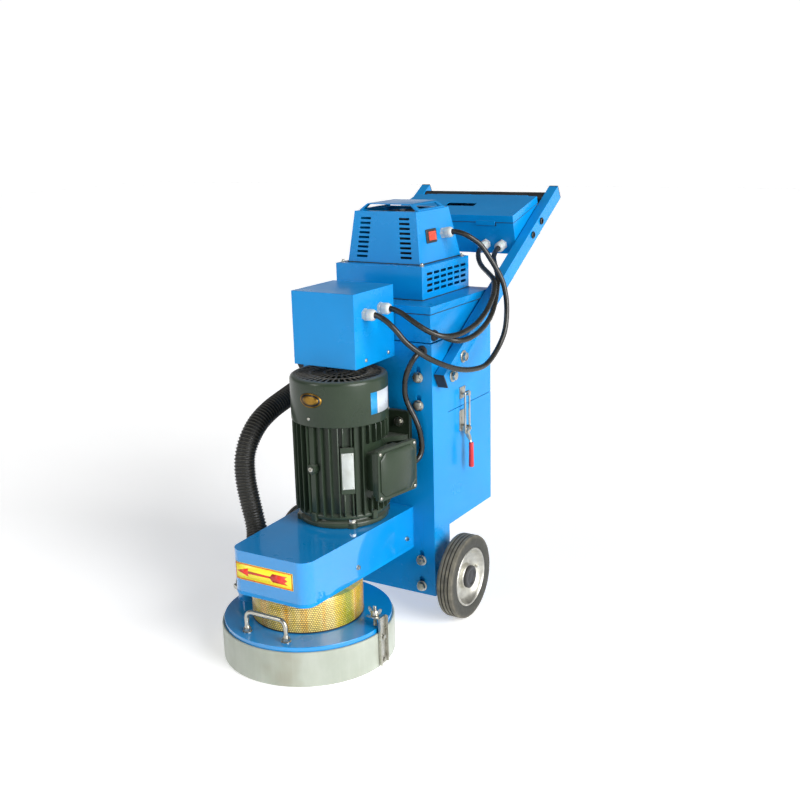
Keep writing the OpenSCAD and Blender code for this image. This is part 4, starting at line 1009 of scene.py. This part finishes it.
def add_box_fasteners():
    shape = Shape()
    for side in (-1, 1):
        for y in (-0.123, -0.029):
            add_pan_screw(shape, on_side(side, POWER_X, y, 0.642), 0.0045, 0.0025)
        for y in (0.085, 0.28):
            nut = placed(side * 0.108, y, 0.823)
            shape.lathe([(0.0062, 0), (0.0062, 0.0008)], nut, 28)
            shape.hexagon(0.0052, 0.003, nut @ moved(0, 0, 0.0008))
            dome = [(0.0036, 0.0036), (0.0036, 0.005), (0.0028, 0.0064), (0.0012, 0.0072), (0.0001, 0.0073)]
            shape.lathe(dome, nut, 24)
    pin = ON_BOX @ moved(0, 0.1556, -0.006) @ turned(90, "Y")
    shape.lathe([(0.0024, -0.15), (0.003, -0.1494), (0.003, 0.1494), (0.0024, 0.15)], pin, 24)
    piece("box_screws", shape, ZINC, "frame", ["frame_screws"])


# ---------- grinding head ----------


def add_drum():
    wall = [
        (0.04, 0.098), (0.04, 0.0902), (0.1235, 0.0902), (0.1248, 0.0908), (0.125, 0.0915),
        (0.125, 0.1645), (0.1246, 0.1652), (0.1235, 0.1655), (0.04, 0.1655), (0.04, 0.16),
    ]
    shape = Shape().lathe(wall, SPINDLE_AXIS, 160, closed=True)
    piece("drum_tape_wrap", shape, TAPE, "head", ["spindle_housing"])
    band = [(0.1251, 0.0903), (0.1257, 0.0906), (0.1257, 0.0932), (0.1251, 0.0935)]
    edge = Shape().lathe(band, SPINDLE_AXIS, 128, closed=True)
    piece("drum_edge_band", edge, BLACK, "head")


def add_skirt():
    section = [
        (0.1891, 0.0025), (0.19, 0.0012), (0.193, 0.001), (0.1938, 0.002), (0.194, 0.004),
        (0.194, 0.042), (0.1939, 0.0765), (0.1934, 0.079), (0.1922, 0.08), (0.19, 0.08),
        (0.189, 0.0792), (0.1889, 0.077),
    ]
    shape = Shape().lathe(section, SPINDLE_AXIS, 160, closed=True)
    piece("skirt_band", shape, SKIRT, "head", ["dust_skirt"])


STRAP_TOP = 0.115


def add_skirt_bracket():
    shape = Shape()
    axis = SPINDLE_AXIS
    shape.block((0.1945, -0.0147, 0.0052), (0.1967, 0.0147, STRAP_TOP), axis, 0.0005)
    for y in (-1, 1):
        low, high = sorted((y * 0.0147, y * 0.0128))
        shape.block((0.1955, low, 0.0054), (0.2022, high, STRAP_TOP - 0.0005), axis, 0.0005)
    shape.block((0.1625, -0.0129, STRAP_TOP - 0.0027), (0.1965, 0.0129, STRAP_TOP), axis, 0.0005)
    for z in (0.014, 0.068):
        add_hex_bolt(shape, axis @ moved(0.1967, 0, z) @ turned(90, "Y"), 0.0055, 0.0034, 0.0072,
                     0.001, thread=0.001)
    piece("skirt_strap", shape, ZINC, "head", ["skirt_clamp"])
    wing = Shape()
    at = axis @ moved(0.178, 0, STRAP_TOP)
    stem = [(0.003, COVER_Z + 0.0006 - STRAP_TOP)]
    turns = 36
    for k in range(turns):
        z = COVER_Z + 0.001 - STRAP_TOP + 0.00125 * k
        stem += [(0.0033, z), (0.0039, z + 0.0006)]
    wing.lathe(stem + [(0.0028, 0.0218)], at, 20)
    hub = [(0.0084, 0.0008), (0.0088, 0.002), (0.0076, 0.009), (0.0062, 0.0118), (0.0042, 0.012)]
    wing.lathe(hub, at, 36)
    blade = [
        (0.005, 0.002), (0.01, 0.003), (0.0145, 0.007), (0.0163, 0.012), (0.0162, 0.0165),
        (0.0145, 0.018), (0.0115, 0.0165), (0.0085, 0.011), (0.005, 0.0095),
    ]
    for angle in (0, 180):
        rings = [[(x, y, z) for x, z in blade] for y in (-0.0015, 0.0015)]
        wing.rings(rings, at @ turned(angle, "Z"))
    piece("wing_nut", wing, ZINC, "wing_screw", ["wing_screw"])


def add_lift_bar():
    half, top, bend, y = 0.052, 0.138, 0.016, -0.424
    path = [spot(-half, y, COVER_Z + 0.002)]
    for side, start in ((-1, 180), (1, 90)):
        for k in range(9):
            a = math.radians(start - 90 * k / 8)
            path.append(spot(side * (half - bend) + bend * math.cos(a), y, top - bend + bend * math.sin(a)))
    path.append(spot(half, y, COVER_Z + 0.002))
    shape = Shape().tube(path, 0.005, 20)
    for side in (-1, 1):
        foot = placed(side * half, y, COVER_Z + 0.0001)
        shape.lathe([(0.01, 0), (0.0104, 0.0004), (0.0104, 0.0016), (0.0098, 0.002)], foot, 36)
        shape.hexagon(0.009, 0.0072, foot @ moved(0, 0, 0.002))
        shape.lathe([(0.0062, 0.009), (0.006, 0.012), (0.0052, 0.015)], foot, 28)
    piece("lift_bar", shape, ZINC, "head", ["lift_handle"])


def housing_front(x, out):
    """The point of the belt housing's front at x across, out metres in front of it; round its left corner."""
    corner, half = 0.03, 0.103
    flat = half - corner
    if x >= -flat:
        return x, -0.408 - out
    a = math.radians(270) - (-flat - x) / corner
    return -flat + (corner + out) * math.cos(a), -0.408 + corner + (corner + out) * math.sin(a)


def label_sheet(outlines, out, name, material):
    """Flat outlines (across, up) laid on the housing's front face."""
    bm = bmesh.new()
    for outline in outlines:
        bm.faces.new([bm.verts.new((x, 0, z)) for x, z in outline])
    for k in range(12):
        cut = -0.073 - 0.002 * k
        geometry = bm.verts[:] + bm.edges[:] + bm.faces[:]
        bmesh.ops.bisect_plane(bm, geom=geometry, plane_co=(cut, 0, 0), plane_no=(1, 0, 0))
    bm.verts.ensure_lookup_table()
    verts = []
    for v in bm.verts:
        x, y = housing_front(v.co.x, out)
        verts.append(spot(x, y, v.co.z))
    bm.verts.index_update()
    faces = [[v.index for v in f.verts] for f in bm.faces]
    bm.free()
    piece(name, Shape().add(verts, faces), material, "head", thick=0.0003)


def add_arrow_label():
    left, right, low, high = -0.09, 0.066, 0.202, 0.241
    middle = (low + high) / 2

    def border(a, b):
        return [
            [(left + a, low + a), (right - a, low + a), (right - b, low + b), (left + b, low + b)],
            [(right - a, low + a), (right - a, high - a), (right - b, high - b), (right - b, low + b)],
            [(right - a, high - a), (left + a, high - a), (left + b, high - b), (right - b, high - b)],
            [(left + a, high - a), (left + a, low + a), (left + b, low + b), (left + b, high - b)],
        ]

    label_sheet([[(left, low), (right, low), (right, high), (left, high)]], 0.0004, "direction_label", YELLOW)
    arrow = [
        [(-0.083, middle), (-0.052, middle - 0.0095), (-0.0535, middle - 0.003), (-0.0535, middle + 0.003),
         (-0.052, middle + 0.0095)],
        [(-0.0535, middle - 0.003), (0.006, middle - 0.0022), (0.006, middle + 0.0022),
         (-0.0535, middle + 0.003)],
        [(0.004, middle), (0.013, middle - 0.0095), (0.052, middle - 0.0095), (0.044, middle - 0.0048),
         (0.052, middle), (0.044, middle + 0.0048), (0.052, middle + 0.0095), (0.013, middle + 0.0095)],
    ]
    label_sheet(border(0.001, 0.003) + arrow, 0.0007, "direction_marks", LABEL_RED)


# ---------- latches ----------


def add_latch_base(here, word):
    """The base on the bin: its plate, four rivets, two ears and the ends of the pivot pin."""
    plate = -LATCH_REACH
    base = Shape()
    base.prism(rounded(0.0325, 0.0525, 0.004), 0.0, 0.0023,
               here @ moved(plate, 0, PIVOT_Z + 0.02) @ turned(90, "Z") @ turned(90, "X"), 0.0005)
    for y in (-0.0085, 0.0085):
        for z in (-0.001, 0.037):
            at = here @ moved(plate + 0.0022, y * 1.3, PIVOT_Z + z) @ turned(90, "Y")
            base.lathe([(0.0029, 0), (0.0026, 0.001), (0.0016, 0.0017), (0.0001, 0.0019)], at, 20)
    for y in (-0.0074, 0.0046):
        n = 20
        disc = [(0.0072 * math.cos(math.pi * (k / n - 0.5)), 0.0072 * math.sin(math.pi * (k / n - 0.5)))
                for k in range(n + 1)]
        outline = disc + [(plate + 0.001, 0.0072), (plate + 0.001, -0.0072)]
        rings = [[(x, y + t, PIVOT_Z + z) for x, z in outline] for t in (0.0, 0.0028)]
        base.rings(rings, here)
    for end in ([(0.0032, -0.01), (0.0036, -0.0094), (0.0036, -0.0076)],
                [(0.0036, 0.0076), (0.0036, 0.0094), (0.0032, 0.01)]):
        base.lathe(end, here @ moved(0, 0, PIVOT_Z) @ turned(90, "X"), 20)
    piece("latch_base_" + word, base, ZINC, "bin")


def add_keeper_rivets(here, word):
    keeper = Shape()
    for z in (0.512, 0.528):
        for y in (0.0105, -0.0105):
            at = here @ moved(0.002 - LATCH_REACH, y, z) @ turned(90, "Y")
            keeper.lathe([(0.0026, 0), (0.0024, 0.0009), (0.0014, 0.0015), (0.0001, 0.0017)], at, 20)
    piece("keeper_rivets_" + word, keeper, ZINC, "frame")


def add_latch_lever(here, word):
    """The lever's pressed spine, its bent stem, and its two pins."""
    arm = Shape()
    spine = [(0.004, 0.0035), (0.003, 0.0048), (-0.003, 0.0048), (-0.0042, 0.003), (-0.0042, -0.012),
             (-0.001, -0.02), (0.005, -0.028), (0.0095, -0.028), (0.0075, -0.019), (0.0042, -0.011)]
    rings = [[(x * s, y, PIVOT_Z + z * (1 - (1 - s) * 0.3)) for x, z in spine]
             for y, s in ((-0.0042, 0.9), (-0.0038, 1.0), (0.0038, 1.0), (0.0042, 0.9))]
    arm.rings(rings, here)
    stem = [here @ Vector((x, 0, PIVOT_Z + z)) for x, z in
            ((0.001, -0.014), (0.003, -0.021), (0.0065, -0.028), (0.009, -0.034), (0.01, -0.042))]
    arm.tube(stem, 0.0032, 16)
    for z in (0.0, -THROW):
        pivot = here @ moved(0, 0, PIVOT_Z + z) @ turned(90, "X")
        arm.lathe([(0.0022, -0.0078), (0.0025, -0.0074), (0.0025, 0.0074), (0.0022, 0.0078)], pivot, 20)
    piece("latch_lever_" + word, arm, ZINC, "lever_" + word, ["lever_" + word])


def add_latch_grip(here, word):
    """The dipped red grip on the lever's stem, with its ribs."""
    grip = Shape()
    sleeve = [(0.0034, -0.0335), (0.0052, -0.0338), (0.0058, -0.035), (0.0058, -0.056), (0.0062, -0.08),
              (0.0064, -0.0905), (0.0062, -0.0935), (0.005, -0.0948), (0.0002, -0.095)]
    grip.lathe(sleeve[::-1], here @ moved(0.0098, 0, PIVOT_Z), 36)
    for y in (-1, 1):
        for z in (-0.056, -0.07):
            grip.block((-0.003, y * 0.0061 - 0.0006, -0.006), (0.003, y * 0.0061 + 0.0006, 0.006),
                       here @ moved(0.0098, 0, PIVOT_Z + z), 0.0004)
    piece("latch_grip_" + word, grip, RED, "lever_" + word)


def add_latch_wire(here, word):
    """The wire loop, from the lever's lower pin up over the keeper."""
    low, high, half, bend = PIVOT_Z - THROW, KEEPER_Z, 0.011, 0.005
    corners = [(half - bend, high - bend, 90), (bend - half, high - bend, 180),
               (bend - half, low + 0.004, 270), (half - bend, low + 0.004, 360)]
    path = []
    for y, z, end in corners:
        drop = bend if z > PIVOT_Z else 0.004
        for k in range(7):
            a = math.radians(end - 90 + 90 * k / 6)
            path.append(here @ Vector((0, y + bend * math.cos(a), z + drop * math.sin(a))))
    wire = Shape().tube(path, 0.0025, 16, closed=True)
    piece("latch_wire_" + word, wire, ZINC, "loop_" + word, ["loop_" + word], sharp=60)


def add_latch(side, word):
    """A toggle latch on one side, in a frame at the lever's pivot, mirrored for the left."""
    here = Matrix.Diagonal((side, 1, 1, 1)) @ moved(LATCH_X, LATCH_Y + SHIFT_Y, 0)
    add_latch_base(here, word)
    add_keeper_rivets(here, word)
    add_latch_lever(here, word)
    add_latch_grip(here, word)
    add_latch_wire(here, word)


# ---------- vacuum unit and boxes ----------


def add_switch():
    where = on_cowl_side(0.159, 0.884)
    bezel = Shape()
    outer, inner = rounded(0.032, 0.048, 0.003), rounded(0.0218, 0.0292, 0.0015)
    levels = ((outer, 0.0, 0), (outer, 0.0022, 0), (outer, 0.003, 0.0008), (inner, 0.003, 0.0),
              (inner, -0.003, 0.0))
    rings = [[(x, y, z) for x, y in outline(inset)] for outline, z, inset in levels]
    bezel.rings(rings, where, closed=True)
    piece("switch_bezel", bezel, BLACK, "frame")
    rocker = Shape()
    tilt = where @ turned(8, "X")
    half = 0.014
    section = [(-half, -0.001), (half, -0.001)]
    for k in range(13):
        a = math.pi * k / 12
        section.append((half * math.cos(a), 0.0056 - 0.0018 * math.sin(a)))
    ends = ((-0.0104, 0.94), (-0.0098, 1.0), (0.0098, 1.0), (0.0104, 0.94))
    rocker.rings([[(x, y * share, z) for y, z in section] for x, share in ends], tilt)
    piece("switch_rocker", rocker, ROCKER, "rocker", ["rocker"])


def add_vacuum_motor():
    axis = placed(0, 0.185, 0)
    shape = Shape()
    case = [
        (0.07, 0.7462), (0.072, 0.748), (0.072, 0.804), (0.07, 0.8058), (0.0505, 0.8062),
        (0.05, 0.808), (0.05, 0.918), (0.0505, 0.92), (0.057, 0.9205), (0.0578, 0.922),
        (0.0578, 0.933), (0.056, 0.9358), (0.052, 0.9368), (0.025, 0.9372), (0.023, 0.9362), (0.0002, 0.9362),
    ]
    shape.lathe(case, axis, 96)
    for k in range(16):
        fin = axis @ turned(22.5 * k, "Z")
        shape.block((0.027, -0.0012, 0.9362), (0.0535, 0.0012, 0.9379), fin, 0.0004)
    piece("vacuum_motor_case", shape, BLACK, "frame", ["vac_motor"])
    nut = Shape()
    nut.hexagon(0.008, 0.005, axis @ moved(0, 0, 0.9362))
    piece("vacuum_motor_nut", nut, ZINC, "frame")


def add_shade_strips(name, node, sides, z0, z1, out, into, overhang, chamfer):
    """Dark strips from z0 to z1 along the named sides of a CAD part's box, out past it and into it: painted
    shade lines.
    """
    low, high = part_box(node)
    x0, x1 = low.x - overhang, high.x + overhang
    strips = {
        "front": ((x0, low.y - out), (x1, low.y + into)),
        "back": ((x0, high.y - into), (x1, high.y + out)),
        "left": ((low.x - out, low.y), (low.x + into, high.y)),
        "right": ((high.x - into, low.y), (high.x + out, high.y)),
    }
    shape = Shape()
    for side in sides:
        start, end = strips[side]
        shape.block((*start, z0), (*end, z1), None, chamfer)
    piece(name, shape, GRIP, "frame")


def add_shade_lines():
    """Painted shade: dark lines under the vacuum unit's two boxes, and under the rim of the tank's lid."""
    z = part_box("vac_cowl")[0].z
    add_shade_strips("cowl_shade_line", "vac_cowl", ("front", "back", "right", "left"), z, z + 0.0022,
               0.0012, 0.0005, 0.001, 0.0004)
    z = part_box("vac_base_box")[0].z
    add_shade_strips("base_shade_line", "vac_base_box", ("front", "right", "left"), z, z + 0.0018,
               0.0014, 0.0005, 0.001, 0.0004)
    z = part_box("tank_lid")[0].z
    add_shade_strips("tank_lid_shade_line", "filter_tank", ("front", "back", "left", "right"), z - 0.0018, z - 0.0002,
               0.0014, 0.0002, 0.0014, 0.0003)


def add_control_lid_shade_line():
    """Painted shade: a dark line under the rim of the control box's lid, running round its finger tab."""
    half, under, tab_under = 0.1775, -0.0183, -0.0263
    shape = Shape()
    for x0, x1, z0, z1 in (
        (-half, 0.0735, under - 0.0013, under), (0.1295, half, under - 0.0013, under),
        (0.0735, 0.0747, tab_under - 0.0013, under), (0.1283, 0.1295, tab_under - 0.0013, under),
        (0.0735, 0.1295, tab_under - 0.0016, tab_under),
    ):
        shape.block((x0, -0.0016, z0), (x1, 0.0002, z1), ON_BOX, 0.0002)
    for side in (-1, 1):
        low_x, high_x = sorted((side * (half - 0.0002), side * (half + 0.0014)))
        shape.block((low_x, 0.0, under - 0.0013), (high_x, 0.146, under), ON_BOX, 0.0003)
    piece("control_lid_shade_line", shape, GRIP, "frame")


def add_display():
    """A blank panel with a window and a knob, under the slot in the control box's lid."""
    shape = Shape()
    shape.block((-0.046, 0.066, -0.014), (0.034, 0.088, -0.0118), ON_BOX, 0.0008, 0)
    shape.block((-0.04, 0.069, -0.0119), (-0.016, 0.085, -0.0108), ON_BOX, 0.0006, 1)
    shape.lathe([(0.0055, -0.0119), (0.0055, -0.006), (0.0045, -0.0048), (0.0001, -0.0046)],
                ON_BOX @ moved(-0.004, 0.077, 0), 24, 2)
    piece("keypad_panel", shape, [BLACK, GLASS, ZINC], "frame")


# ---------- kept CAD parts ---------------------

KEPT = {
    BLUE: ["chassis", "filter_tank", "tank_lid", "vac_base_box", "vac_cowl", "rain_cap", "handle_frame",
           "control_box", "power_box", "suction_elbow", "head_bracket", "dust_bin", "box_lid"],
    GLOSS_BLUE: ["belt_housing", "head_cover"],
    MEDIA: ["filter_cartridge"],
    STEEL: ["axle", "bearings", "motor_shaft", "spindle", "grinding_disc"],
    GRIP: ["grip_sleeve"],
    BLACK: ["arm_end_plugs", "inverter", "cooling_fan"],
    ZINC: ["latch_keepers"],
    COPPER: ["motor_stator"],
    BELT: ["drive_belts"],
    IRON: ["drive_pulley", "driven_pulley"],
    BRONZE: ["grinding_segments"],
}
FOLDED = {
    "chassis": 0.001, "filter_tank": 0.001, "tank_lid": 0.001, "vac_base_box": 0.0007, "rain_cap": 0.0005,
    "handle_frame": 0.0012, "control_box": 0.0008, "power_box": 0.001, "head_bracket": 0.001,
    "belt_housing": 0.0014, "head_cover": 0.0012, "dust_bin": 0.001, "box_lid": 0.0008, "vac_cowl": 0.0008,
    "arm_end_plugs": 0.0008, "latch_keepers": 0.0004,
}


def dress_cad():
    """Gives every kept CAD part its material, and rounds the folded edges of the sheet parts."""
    for material, names in KEPT.items():
        for name in names:
            mesh = NODES[name].data
            mesh.materials.clear()
            mesh.materials.append(material)
    for name, width in FOLDED.items():
        obj = NODES[name]
        weld = obj.modifiers.new("join", "WELD")
        weld.merge_threshold = 0.00001
        bevel = obj.modifiers.new("fold", "BEVEL")
        bevel.width = width
        bevel.segments = 2
        bevel.limit_method = "ANGLE"
        bevel.angle_limit = math.radians(40)
        obj.modifiers.new("shade", "WEIGHTED_NORMAL")


# ---------- room ----------


def add_light(name, kind, energy, where):
    data = bpy.data.lights.new(name, kind)
    data.energy = energy
    light = bpy.data.objects.new(name, data)
    bpy.context.scene.collection.objects.link(light)
    light.matrix_world = where
    return data


def add_floor():
    half = 14.0
    mesh = bpy.data.meshes.new("floor")
    corners = [(-half, -half, 0), (half, -half, 0), (half, half, 0), (-half, half, 0)]
    mesh.from_pydata(corners, [], [[0, 1, 2, 3]])
    mesh.materials.append(floor_material())
    floor = bpy.data.objects.new("floor", mesh)
    floor.location.z = -0.0005
    bpy.context.scene.collection.objects.link(floor)


def add_world():
    """A white surround, bright at the horizon and dim overhead."""
    world = bpy.data.worlds.new("studio")
    world.use_nodes = True
    tree = world.node_tree
    direction = tree.nodes.new("ShaderNodeTexCoord")
    parts = tree.nodes.new("ShaderNodeSeparateXYZ")
    fade = tree.nodes.new("ShaderNodeMapRange")
    fade.inputs[1].default_value, fade.inputs[2].default_value = 0.11, 0.26
    fade.inputs[3].default_value, fade.inputs[4].default_value = 1.02, 0.14
    tree.links.new(direction.outputs["Generated"], parts.inputs[0])
    tree.links.new(parts.outputs["Z"], fade.inputs[0])
    tree.links.new(fade.outputs[0], tree.nodes["Background"].inputs["Strength"])
    tree.nodes["Background"].inputs["Color"].default_value = (1, 1, 1, 1)
    bpy.context.scene.world = world


def add_lights():
    """A broad sun from one side, and an area light in front."""
    key = add_light("key", "SUN", 4.0, turned(-10, "Z") @ turned(68, "Y"))
    key.angle = math.radians(42)
    lamp, target = Vector((-1.6, -3.2, 2.4)), Vector((0, 0, 0.5))
    aim = (target - lamp).to_track_quat("-Z", "Y").to_matrix().to_4x4()
    front = add_light("front", "AREA", 34, Matrix.Translation(lamp) @ aim)
    front.shape = "RECTANGLE"
    front.size, front.size_y = 1.2, 1.6


add_camera()
add_cable("vac_cable", VAC_ROUTE, "frame", "cable_vac")
add_cable("control_cable", CONTROL_ROUTE, "frame", "cable_control")
add_cable("motor_lead_top", LEAD_UPPER_ROUTE, "frame", "motor_lead_upper")
add_cable("motor_lead_foot", LEAD_LOWER_ROUTE, "head", "motor_lead_lower")
add_hose()
add_cuffs()
add_glands()
for side, word in ((1, "right"), (-1, "left")):
    add_wheel(side, word)
    add_latch(side, word)
add_motor_body()
add_motor_shields()
add_fan_cowl()
add_terminal_box()
add_plates()
add_frame_fasteners()
add_head_fasteners()
add_box_fasteners()
add_drum()
add_skirt()
add_skirt_bracket()
add_lift_bar()
add_arrow_label()
add_switch()
add_vacuum_motor()
add_shade_lines()
add_control_lid_shade_line()
add_display()
dress_cad()
add_floor()
add_world()
add_lights()
bpy.context.scene.view_settings.view_transform = "Standard"
